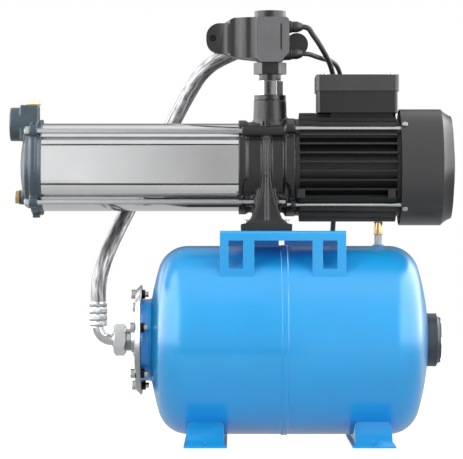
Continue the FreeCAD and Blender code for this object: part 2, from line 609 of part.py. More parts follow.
def suction_casing():
    """Cast suction end: cover, flange, port tower, plug bosses and foot tab, cored for the water."""
    socket = s.shell_left + s.shell_socket
    cover = turned("SuctionCover", [
        (s.suction_left, 0), (s.suction_left + 3, s.suction_cover_r * 0.6, -s.suction_cover_r * 3),
        (s.suction_left + 9, s.suction_cover_r), (s.suction_flange_left, s.suction_cover_r + 2),
        (s.suction_flange_left, s.suction_flange_r - 3), (s.suction_flange_left + 3, s.suction_flange_r),
        (s.suction_flange_left + 9, s.suction_flange_r), (s.suction_flange_left + 9, s.suction_flange_r - 2),
        (s.shell_left, s.suction_flange_r - 2), (socket, s.suction_flange_r + 1),
        (socket, s.shell_r + s.fit_gap), (s.shell_left, s.shell_r + s.fit_gap), (s.shell_left, 0)], "x", AXIS)
    tower = s.tower_half
    neck = profile("SuctionTower", "x", s.suction_left, s.shell_left - 1, [
        (-tower - 6, s.pump_axis_z + s.suction_cover_r - 20), (-tower - 3, s.port_z),
        (-tower, s.tower_top - 5), (5 - tower, s.tower_top, -5), (tower - 5, s.tower_top),
        (tower, s.tower_top - 5, -5), (tower + 3, s.port_z), (tower + 6, s.pump_axis_z + s.suction_cover_r - 20)])
    port = turned("SuctionPort", [
        (s.port_face_x, 0), (s.port_face_x, s.port_r - 1.5), (s.port_face_x + 1.5, s.port_r),
        (s.shell_left - 8, s.port_r), (s.shell_left - 8, 0)], "x", (0, s.port_z))
    boss_at = (0, s.drain_z)
    drain_boss = rod("DrainBoss", s.drain_boss_r, "x", s.suction_left - 1, s.suction_flange_left + 4, boss_at)
    tab = block("SuctionTab", (s.tab_left, s.shell_left), (-s.tab_half, s.tab_half),
                (s.tab_low, s.pump_axis_z - s.suction_cover_r))
    ears = []
    holes = []
    for i, spot in enumerate(ring_points(s.rod_ring_r, (45, 135, 225, 315), s.pump_axis_z)):
        ears.append(rod(f"SuctionEar{i}", s.rod_nut_r + 1.5, "x", s.suction_flange_left, s.shell_left, spot))
        holes.append(rod(f"SuctionRodHole{i}", s.rod_r + s.fit_gap, "x", s.suction_flange_left - 1,
                         socket + 1, spot))
    casing = fuse("SuctionBlank", cover, neck, port, drain_boss, tab, *ears)
    bore = rod("SuctionBore", s.port_bore_r, "x", s.port_face_x - 1, s.port_face_x + s.port_depth, (0, s.port_z))
    chamber_x = s.chamber_left + s.chamber_r / 2
    well = rod("SuctionWell", s.chamber_r / 2 + 2, "z", s.drain_z, s.port_z, (chamber_x + 2, 0))
    eye = rod("SuctionEye", s.eye_r, "x", chamber_x - 2, s.shell_left + 1, AXIS)
    link = rod("SuctionLink", s.chamber_r - 3, "x", s.port_face_x + 5, chamber_x, (0, s.port_z))
    prime = rod("PrimeHole", s.plug_shank_r + s.shaft_gap, "z", s.port_z, s.tower_top + 1, (s.plug_x, 0))
    drain = rod("DrainHole", s.plug_shank_r + s.shaft_gap, "x", s.suction_left - 2, chamber_x, boss_at)
    node("suction_casing", cut("SuctionCasing", casing, bore, well, eye, link, prime, drain, *holes))


def brass_plug(name, axis, face, at, out):
    """Hexagon-headed brass plug with a shank, outwards from a face; out is +1 or -1 along the axis."""
    washer = face + s.washer_t * out
    top = washer + s.plug_head_t * out
    tip = washer - s.plug_shank * out
    low, high = (washer, top) if out > 0 else (top, washer)
    head = hexagon(name + "Head", s.plug_hex_r, axis, low, high, at, 30)
    low, high = (tip, washer + 1) if out > 0 else (washer - 1, tip)
    shank = rod(name + "Shank", s.plug_shank_r, axis, low, high, at)
    low, high = (face, washer) if out > 0 else (washer, face)
    outer = rod(name + "WasherDisc", s.plug_hex_r, axis, low, high, at)
    inner = rod(name + "WasherHole", s.plug_shank_r + s.fit_gap, axis, low - 1, high + 1, at)
    return fuse(name, head, shank), cut(name + "Washer", outer, inner)


def plugs():
    prime, prime_washer = brass_plug("PrimePlug", "z", s.tower_top, (s.plug_x, 0), 1)
    drain, drain_washer = brass_plug("DrainPlug", "x", s.suction_left - 1, (0, s.drain_z), -1)
    node("prime_plug", prime)
    node("drain_plug", drain)
    node("plug_washers", group("PlugWashers", prime_washer, drain_washer))


def barrel():
    """Polished stainless shell between its two seals, drawn together by four tie rods."""
    inner = s.shell_r - s.shell_wall
    shell = turned("Shell", [(s.shell_left, inner), (s.shell_left, s.shell_r), (s.shell_right, s.shell_r),
                             (s.shell_right, inner)], "x", AXIS)
    node("pump_shell", shell)
    rods = []
    nuts = []
    far = s.drum_right
    for i, spot in enumerate(ring_points(s.rod_ring_r, (45, 135, 225, 315), s.pump_axis_z)):
        rods.append(rod(f"TieRod{i}", s.rod_r, "x", s.suction_flange_left - s.rod_nut_t - s.rod_end, far, spot))
        nut = hexagon(f"TieNutBlank{i}", s.rod_nut_r, "x", s.suction_flange_left - s.rod_nut_t,
                      s.suction_flange_left, spot)
        hole = rod(f"TieNutHole{i}", s.rod_r + s.fit_gap / 2, "x", s.suction_flange_left - s.rod_nut_t - 1,
                   s.suction_flange_left + 1, spot)
        nuts.append(cut(f"TieNut{i}", nut, hole))
    node("tie_rods", group("TieRods", *rods))
    M8_NUTS.extend(nuts)


def stage_places():
    return [s.stage_left + s.stage_pitch * i for i in range(int(s.stages.value))]


def hydraulics():
    """Stage bowls with their diffusers, and the impellers that turn in them."""
    outer = s.shell_r - s.shell_wall - s.bowl_gap
    bowls = []
    diffusers = []
    impellers = []
    spacers = []
    for i, left in enumerate(stage_places()):
        right = left + s.stage_pitch - s.bowl_gap
        wall = left + s.bowl_wall
        bowls.append(turned(f"Bowl{i}", [
            (left, s.bowl_bore_r), (left, outer), (right, outer), (right, outer - s.bowl_wall),
            (wall, outer - s.bowl_wall), (wall, s.bowl_bore_r)], "x", AXIS))
        wheel_left = wall + s.running_gap
        wheel_right = wheel_left + s.impeller_w
        plate = wheel_right + s.running_gap
        disc = rod(f"DiffuserDisc{i}", s.vane_r, "x", plate, plate + s.vane_t, AXIS)
        vanes = [block(f"Vane{i}_{k}", (plate, right - s.bowl_gap), (s.hub_r + s.vane_t, s.vane_r - s.vane_t),
                       (0, s.vane_t)) for k in range(int(s.vanes.value))]
        for k, vane in enumerate(vanes):
            spin = 360 * k / len(vanes)
            reach = s.hub_r + s.vane_t
            place(vane, (plate, reach * cosine(spin), s.pump_axis_z + reach * sine(spin)),
                  Rotation(Vector(1, 0, 0), spin))
        hole = rod(f"DiffuserBore{i}", s.hub_r + s.running_gap, "x", plate - 1, right, AXIS)
        diffusers.append(cut(f"Diffuser{i}", fuse(f"DiffuserBlank{i}", disc, *vanes), hole))
        bore = s.shaft_r + s.shaft_gap
        impellers.append(turned(f"Impeller{i}", [
            (wheel_left, bore), (wheel_left, s.impeller_eye_r), (wheel_left + s.impeller_w / 2, s.impeller_r),
            (wheel_right, s.impeller_r), (wheel_right, s.hub_r), (plate + s.vane_t, s.hub_r),
            (plate + s.vane_t, bore)], "x", AXIS))
        next_left = wheel_left + s.stage_pitch
        if i + 1 < int(s.stages.value):
            spacers.append(turned(f"Spacer{i}", [
                (plate + s.vane_t, bore), (plate + s.vane_t, s.spacer_r), (next_left, s.spacer_r),
                (next_left, bore)], "x", AXIS))
    node("stage_bowls", group("StageBowls", *bowls))
    node("stage_diffusers", group("StageDiffusers", *diffusers))
    node("impellers", group("Impellers", *impellers))
    node("impeller_spacers", group("ImpellerSpacers", *spacers))


def rotor():
    """Shaft, squirrel-cage core and the turning half of the shaft seal."""
    last = stage_places()[-1] + s.stage_pitch
    node("rotor_shaft", turned("Shaft", [
        (s.shaft_left, 0), (s.shaft_left, s.shaft_r - 2), (s.shaft_left + 2, s.shaft_r),
        (s.core_left - 10, s.shaft_r), (s.core_left - 10, s.shaft_r + 2), (s.core_right + 10, s.shaft_r + 2),
        (s.core_right + 10, s.shaft_r), (s.shaft_right, s.shaft_r), (s.shaft_right, 0)], "x", AXIS))
    node("rotor_core", turned("RotorCore", [
        (s.core_left, s.shaft_r + 2 + s.shaft_gap), (s.core_left, s.core_bore_r - s.air_gap),
        (s.core_right, s.core_bore_r - s.air_gap), (s.core_right, s.shaft_r + 2 + s.shaft_gap)], "x", AXIS))
    bore = s.shaft_r + s.shaft_gap
    seal_face = s.water_right - s.seal_wall / 2
    node("shaft_seal_ring", turned("SealRing", [
        (last - s.stage_pitch / 2, bore), (last - s.stage_pitch / 2, s.spacer_r),
        (seal_face - 14, s.spacer_r), (seal_face - 14, s.hub_r + 3), (seal_face, s.hub_r + 3),
        (seal_face, bore)], "x", AXIS))
    node("shaft_seal_seat", turned("SealSeat", [
        (seal_face + s.bowl_gap, bore + s.running_gap), (seal_face + s.bowl_gap, s.hub_r + 5),
        (s.water_right, s.hub_r + 5), (s.water_right, bore + s.running_gap)], "x", AXIS))


def lantern():
    """Black cast discharge casing: drum, outlet boss, motor flange and flared foot with a centre rib."""
    wall_right = s.water_right + s.seal_wall
    socket = s.shell_right - s.shell_socket
    drum = turned("LanternDrum", [
        (socket, s.shell_r + s.fit_gap), (socket, s.drum_r + 3), (s.shell_right + 6, s.drum_r + 3),
        (s.shell_right + 9, s.drum_r), (s.drum_right - 3, s.drum_r),
        (s.drum_right, s.lantern_flange_r), (s.lantern_right, s.lantern_flange_r),
        (s.lantern_right, s.dry_r), (wall_right, s.dry_r), (wall_right, s.shaft_r + 2),
        (s.water_right, s.shaft_r + 2), (s.water_right, s.water_r), (s.shell_right, s.water_r),
        (s.shell_right, s.shell_r + s.fit_gap)], "x", AXIS)
    boss = turned("OutletBoss", [
        (s.pump_axis_z + s.water_r + 2, 0), (s.pump_axis_z + s.water_r + 2, s.boss_r + 6),
        (s.pump_axis_z + s.drum_r + 4, s.boss_r + 1), (s.boss_top, s.boss_r), (s.boss_top, 0)],
        "z", (s.outlet_x, 0))
    mid = (s.base_left + s.base_right) / 2
    floor = s.bracket_top
    base_top = floor + s.base_t
    flare = s.web_flare_r - 6
    front = profile("FootFront", "y", -s.base_half, s.base_half, [
        (s.base_left, floor), (s.base_left, base_top), (mid - s.web_low_half - flare + 2, base_top),
        (mid - s.web_low_half, s.web_low_z, s.web_flare_r), (mid - s.web_neck_half, s.web_neck_z),
        (mid - s.web_neck_half, s.pump_axis_z), (mid + s.web_neck_half, s.pump_axis_z),
        (mid + s.web_neck_half, s.web_neck_z), (mid + s.web_low_half, s.web_low_z),
        (mid + s.web_low_half + flare - 2, base_top, s.web_flare_r), (s.base_right, base_top),
        (s.base_right, floor)])
    shoulder = s.drum_r - 4
    side = profile("FootSide", "x", s.base_left, s.base_right, [
        (-s.base_half, floor), (-s.base_half, base_top), (-shoulder + 6, s.web_low_z + 14),
        (-shoulder, s.pump_axis_z), (shoulder, s.pump_axis_z), (shoulder - 6, s.web_low_z + 14),
        (s.base_half, base_top), (s.base_half, floor), (s.arch_half, floor),
        (s.arch_half - s.arch_rise, floor + s.arch_rise, -s.arch_rise),
        (s.arch_rise - s.arch_half, floor + s.arch_rise), (-s.arch_half, floor, -s.arch_rise)])
    arch_end, arch_top = s.arch_half - s.arch_rise, floor + s.arch_rise + 1
    rib = profile("FootRib", "x", mid - s.rib_half, mid + s.rib_half, [
        (-s.base_half + 4, base_top - 1), (-shoulder - 2, s.pump_axis_z), (2 - shoulder, s.pump_axis_z),
        (0, base_top + s.arch_rise), (shoulder - 2, s.pump_axis_z), (shoulder + 2, s.pump_axis_z),
        (s.base_half - 4, base_top - 1), (s.arch_half, base_top - 1), (arch_end, arch_top),
        (-arch_end, arch_top), (-s.arch_half, base_top - 1)])
    keep_clear = rod("FootKeepClear", s.drum_r - 2, "x", s.base_left - 1, s.base_right + 1, AXIS)
    foot = cut("LanternFoot", fuse("FootRibbed", common("FootForm", front, side), rib), keep_clear)
    ears = []
    holes = [rod("BossBore", s.boss_bore_r, "z", s.pump_axis_z + s.water_r - 8, s.boss_top + 1, (s.outlet_x, 0)),
             rod("BossWay", s.boss_bore_r - 2, "x", s.shell_right + 8, s.outlet_x,
                 (0, s.pump_axis_z + s.water_r - 10))]
    for i, spot in enumerate(ring_points(s.rod_ring_r, (45, 135, 225, 315), s.pump_axis_z)):
        ears.append(rod(f"LanternEar{i}", s.rod_nut_r + 1, "x", s.shell_right, s.drum_right + 1, spot))
        holes.append(rod(f"LanternRodHole{i}", s.rod_r + s.fit_gap / 2, "x", socket - 1, s.drum_right, spot))
    for i, spot in enumerate(ring_points(s.stay_ring_r, (45, 135, 225, 315), s.pump_axis_z)):
        ears.append(rod(f"StayEar{i}", s.stay_head_r + 2, "x", s.drum_right, s.lantern_right, spot))
        holes.append(rod(f"StayHole{i}", s.stay_r + s.fit_gap / 2, "x", s.drum_right + 2,
                         s.lantern_right + 1, spot))
    for i, spot in enumerate(lantern_bolt_spots()):
        holes.append(rod(f"BaseHole{i}", s.rod_r + s.fit_gap, "z", floor - 1, base_top + 1, spot))
        holes.append(rod(f"BaseSeat{i}", s.rod_nut_r + 1.5, "z", base_top, s.web_neck_z, spot))
    node("motor_lantern", cut("Lantern", fuse("LanternBlank", drum, boss, foot, *ears), *holes))
    bolts = []
    nuts = []
    for i, spot in enumerate(lantern_bolt_spots()):
        head = hexagon(f"BaseHead{i}", s.rod_nut_r, "z", base_top, base_top + s.rod_nut_t, spot)
        low = floor - s.bracket_sheet - s.rod_nut_t
        shank = rod(f"BaseShank{i}", s.rod_r, "z", low - 3, base_top + 1, spot)
        bolts.append(fuse(f"BaseBolt{i}", head, shank))
        nut = hexagon(f"BaseNutBlank{i}", s.rod_nut_r, "z", low, floor - s.bracket_sheet, spot)
        hole = rod(f"BaseNutHole{i}", s.rod_r + s.fit_gap / 2, "z", low - 1, floor, spot)
        nuts.append(cut(f"BaseNut{i}", nut, hole))
    M8_BOLTS.extend(bolts)
    M8_NUTS.extend(nuts)


def motor():
    """Finned motor frame with its stator, bearings, rear shield, stay rods, fan and grilled cover."""
    left, right = s.lantern_right, s.motor_right
    core = rod("MotorCore", s.frame_r, "x", left, right, AXIS)
    fins = []
    count = int(s.fins.value)
    for i in range(count):
        offset = s.fin_pitch * (i - (count - 1) / 2)
        fins.append(block(f"SideFin{i}", (left + 6, right - 6), (-s.fin_r, s.fin_r),
                          (s.pump_axis_z + offset - s.fin_t / 2, s.pump_axis_z + offset + s.fin_t / 2)))
        fins.append(block(f"TopFin{i}", (left + 6, right - 6), (offset - s.fin_t / 2, offset + s.fin_t / 2),
                          (s.pump_axis_z - s.fin_r, s.pump_axis_z + s.fin_r)))
    trim = rod("FinTrim", s.fin_r, "x", left, right, AXIS)
    trimmed = common("FinsTrimmed", fuse("FinsRaw", *fins), trim)
    flanges = [rod("FrontRing", s.frame_r + 8, "x", left, left + 6, AXIS),
               rod("RearRing", s.frame_r + 8, "x", right - 6, right, AXIS)]
    pedestal = block("BoxPedestal", (s.pedestal_left, s.pedestal_right), (-s.pedestal_half, s.pedestal_half),
                     (s.pump_axis_z, s.box_low))
    pads = [block(f"LiftPad{i}", (x, x + 11), (s.frame_r * -1 - 12, s.frame_r * -0.5),
                  (s.pump_axis_z - 46, s.pump_axis_z - 33)) for i, x in enumerate((left + 2, right - 20))]
    blank = fuse("FrameBlank", core, trimmed, pedestal, *flanges, *pads)
    bore = rod("FrameBore", s.frame_bore_r, "x", left - 1, right + 1, AXIS)
    box_clear = block("BoxClear", (s.box_left - 2, s.box_right + 2), (-s.box_half - 2, s.box_half + 2),
                      (s.box_low, s.box_low + 2 * s.fin_pitch))
    wire_way = rod("WireWay", s.wire_way_r, "z", s.pump_axis_z, s.box_low + 1, ((s.pedestal_left + s.pedestal_right) / 2, 0))
    node("motor_frame", cut("MotorFrame", blank, bore, wire_way, box_clear))
    node("stator_core", turned("StatorCore", [
        (s.core_left, s.core_bore_r), (s.core_left, s.frame_bore_r - s.shaft_gap),
        (s.core_right, s.frame_bore_r - s.shaft_gap), (s.core_right, s.core_bore_r)], "x", AXIS))
    coils = []
    for name, low in (("FrontWinding", s.core_left - s.winding_length), ("RearWinding", s.core_right)):
        coils.append(turned(name, [
            (low, s.core_bore_r + 5), (low + 3, s.winding_r), (low + s.winding_length - 3, s.winding_r),
            (low + s.winding_length, s.core_bore_r + 5)], "x", AXIS))
    node("stator_windings", group("Windings", *coils))
    bearing_left, shield_left = s.bearing_left, s.motor_right
    races = []
    for name, low in (("bearing_front", bearing_left), ("bearing_rear", shield_left - s.bearing_w / 2)):
        bore_r = s.shaft_r + s.shaft_gap
        race = 3.5
        high = low + s.bearing_w
        inner = turned(name + "Inner", [(low, bore_r), (low, bore_r + race), (high, bore_r + race),
                                        (high, bore_r)], "x", AXIS)
        outer = turned(name + "Outer", [(low, s.bearing_r - race), (low, s.bearing_r), (high, s.bearing_r),
                                        (high, s.bearing_r - race)], "x", AXIS)
        ball_r = (s.bearing_r - bore_r - 2 * race) / 2 - s.shaft_gap
        cage_r = (s.bearing_r + bore_r) / 2
        cage = turned(name + "Balls", [(low + 3, cage_r - ball_r), (low + 3, cage_r + ball_r),
                                       (high - 3, cage_r + ball_r), (high - 3, cage_r - ball_r)], "x", AXIS)
        races += [inner, outer, cage]
    node("motor_bearings", group("Bearings", *races))
    seat = s.bearing_r + s.shaft_gap
    node("front_shield", turned("FrontShield", [
        (bearing_left - 3, s.shaft_r + 3), (bearing_left - 3, s.dry_r - s.fit_gap),
        (left, s.dry_r - s.fit_gap), (left, s.frame_bore_r - s.fit_gap), (left + 7, s.frame_bore_r - s.fit_gap),
        (left + 7, seat + 4), (bearing_left + s.bearing_w, seat + 4), (bearing_left + s.bearing_w, seat),
        (bearing_left, seat), (bearing_left, s.shaft_r + 3)], "x", AXIS))
    rear_seat = shield_left + s.bearing_w / 2
    end = shield_left + s.shield_t
    disc = turned("RearShieldDisc", [
        (shield_left - s.bearing_w / 2, seat), (shield_left - s.bearing_w / 2, seat + 4),
        (shield_left, seat + 4), (shield_left, s.shield_r), (end, s.shield_r), (end, s.shaft_r + 3),
        (rear_seat, s.shaft_r + 3), (rear_seat, seat)], "x", AXIS)
    corners = ring_points(s.stay_ring_r, (45, 135, 225, 315), s.pump_axis_z)
    lugs = [rod(f"ShieldLug{i}", s.stay_head_r, "x", shield_left, end, spot) for i, spot in enumerate(corners)]
    holes = [rod(f"ShieldHole{i}", s.stay_r + s.fit_gap, "x", shield_left - 1, end + 1, spot)
             for i, spot in enumerate(corners)]
    node("rear_shield", cut("RearShield", fuse("RearShieldBlank", disc, *lugs), *holes))
    stays = [rod(f"Stay{i}", s.stay_r, "x", s.drum_right + 2, end, spot) for i, spot in enumerate(corners)]
    heads = [hexagon(f"StayHead{i}", s.stay_head_r, "x", end, end + 3, spot) for i, spot in enumerate(corners)]
    node("motor_stay_rods", group("Stays", *[fuse(f"StayRod{i}", stay, head)
                                             for i, (stay, head) in enumerate(zip(stays, heads))]))
    fan_and_cover(end)


def fan_and_cover(shield_end):
    """Plastic cooling fan on the shaft's tail, under a pressed cover with a slotted face."""
    fan_right = s.fan_left + s.fan_w
    hub = rod("FanHub", s.fan_hub_r, "x", s.fan_left, fan_right, AXIS)
    disc = rod("FanDisc", s.fan_r, "x", s.fan_left, s.fan_left + s.blade_t, AXIS)
    blades = []
    count = int(s.fan_blades.value)
    for i in range(count):
        spin = 360 * i / count
        blade = block(f"Blade{i}", (s.fan_left, fan_right), (0, s.fan_r - s.fan_hub_r), (0, s.blade_t))
        reach = s.fan_hub_r - 1
        blades.append(place(blade, (s.fan_left, reach * cosine(spin), s.pump_axis_z + reach * sine(spin)),
                            Rotation(Vector(1, 0, 0), spin)))
    bore = rod("FanBore", s.shaft_r + s.shaft_gap, "x", s.fan_left - 1, fan_right + 1, AXIS)
    node("cooling_fan", cut("Fan", fuse("FanBlank", hub, disc, *blades), bore))
    wall = s.cover_wall
    face_in = s.cover_right + s.cover_dome - wall
    cover = turned("FanCover", [
        (s.motor_right, s.cover_r - wall), (s.motor_right, s.cover_r), (s.cover_shoulder_x, s.cover_r),
        (s.cover_right, s.cover_face_r, s.cover_face_r / 2), (s.cover_right + s.cover_dome, s.cover_face_r / 2),
        (s.cover_right + s.cover_dome, 0), (face_in, 0), (face_in, s.cover_face_r / 2),
        (s.cover_right - wall, s.cover_face_r - wall), (s.cover_shoulder_x, s.cover_r - wall)], "x", AXIS)
    slots = []
    count = int(s.slots.value)
    for i in range(count):
        offset = s.slot_pitch * (i - (count - 1) / 2)
        half = root(s.grille_r * s.grille_r - offset * offset)
        slots.append(block(f"GrilleSlot{i}", (s.cover_right - s.cover_dome, s.cover_right + 2 * s.cover_dome),
                           (offset - s.slot_w / 2, offset + s.slot_w / 2),
                           (s.pump_axis_z - half, s.pump_axis_z + half)))
    screw_x = s.motor_right + s.shield_t / 2
    holes = []
    screws = []
    for i, spin in enumerate((45, 135, 225, 315)):
        turn = Rotation(Vector(1, 0, 0), spin - 90)
        near = s.stay_ring_r + s.stay_head_r
        spot = (near * cosine(spin), s.pump_axis_z + near * sine(spin))
        hole = rod(f"CoverScrewHole{i}", s.screw_r + s.screw_gap, "z", 0, 2 * s.screw_head_r, (screw_x, 0))
        holes.append(place(hole, (screw_x, spot[0], spot[1]), turn))
        head_at = s.cover_r + s.fit_gap
        head = rod(f"CoverScrewHead{i}", s.screw_head_r, "z", 0, s.screw_head_t, (screw_x, 0))
        place(head, (screw_x, head_at * cosine(spin), s.pump_axis_z + head_at * sine(spin)), turn)
        shank = rod(f"CoverScrewShank{i}", s.screw_r, "z", 0, head_at - near + s.screw_gap, (screw_x, 0))
        place(shank, (screw_x, near * cosine(spin), s.pump_axis_z + near * sine(spin)), turn)
        screws.append(fuse(f"CoverScrew{i}", head, shank))
    node("fan_cover", cut("FanCoverSlotted", cover, *slots, *holes))
    CASE_SCREWS.extend(screws)


def rounded(left, right, half, radius):
    """Rectangle outline with round corners, for a profile across Z."""
    return [(left + radius, -half, radius), (right - radius, -half), (right, radius - half, radius),
            (right, half - radius), (right - radius, half, radius), (left + radius, half),
            (left, half - radius, radius), (left, radius - half)]


def terminal_box():
    """Black box on the motor with its capacitor and terminal strip under a screwed lid."""
    wall, over, corner = s.box_wall, s.lid_over, s.lid_corner_r
    left, right, half = s.box_left, s.box_right, s.box_half
    base = profile("BoxBase", "z", s.box_low, s.box_split, rounded(left, right, half, corner))
    room = profile("BoxRoom", "z", s.box_low + wall, s.box_split + 1,
                   rounded(left + wall, right - wall, half - wall, corner - wall / 2))
    way = rod("BoxWireWay", s.wire_way_r, "z", s.box_low - 1, s.box_low + wall + 1,
              ((s.pedestal_left + s.pedestal_right) / 2, 0))
    glands = [rod(f"BoxGlandHole{i}", s.gland_r - 2, "y", half - 2 * wall, half + 1, spot)
              for i, spot in enumerate(box_gland_spots())]
    node("terminal_box", cut("TerminalBox", base, room, way, *glands))
    lid_left, lid_right, lid_half = left - over, right + over, half + over
    lid = profile("LidOuter", "z", s.box_split, s.box_top,
                  rounded(lid_left, lid_right, lid_half, corner + over))
    lid_room = profile("LidRoom", "z", s.box_split - 1, s.box_top - wall,
                       rounded(left + wall, right - wall, half - wall, corner))
    screws = []
    holes = []
    for i, (a, b) in enumerate(((0, -1), (0, 1), (1, -1), (1, 1))):
        at = ((left + corner * 2) * (1 - a) + (right - corner * 2) * a, (half - corner * 2) * b)
        holes.append(rod(f"LidScrewHole{i}", s.screw_r + s.screw_gap, "z", s.box_split - 1, s.box_top + 1, at))
        head = rod(f"LidScrewHead{i}", s.screw_head_r, "z", s.box_top, s.box_top + s.screw_head_t, at)
        shank = rod(f"LidScrewShank{i}", s.screw_r, "z", s.box_top - wall * 2, s.box_top + 1, at)
        screws.append(fuse(f"LidScrew{i}", head, shank))
    node("terminal_box_lid", cut("BoxLid", lid, lid_room, *holes))
    CASE_SCREWS.extend(screws)
    floor = s.box_low + wall
    middle = (left + right) / 2
    node("start_capacitor", rod("Capacitor", s.capacitor_r, "x", middle - s.capacitor_length / 2,
                                middle + s.capacitor_length / 2, (-half / 3, floor + s.capacitor_r)))
    count = int(s.terminals.value)
    strip = block("TerminalStrip", (middle - 6 * count, middle + 6 * count), (half / 3, half / 3 + 14),
                  (floor, floor + 16))
    clamps = [rod(f"TerminalHole{i}", 2.6, "z", floor + 8, floor + 17,
                  (middle + 12 * (i - (count - 1) / 2), half / 3 + 7)) for i in range(count)]
    node("terminal_strip", cut("TerminalBlock", strip, *clamps))


def box_gland_spots():
    """(x, z) of the two cable glands on the back of the terminal box."""
    mid_z = (s.box_low + s.box_split) / 2
    return [(s.box_left + 14, mid_z)]


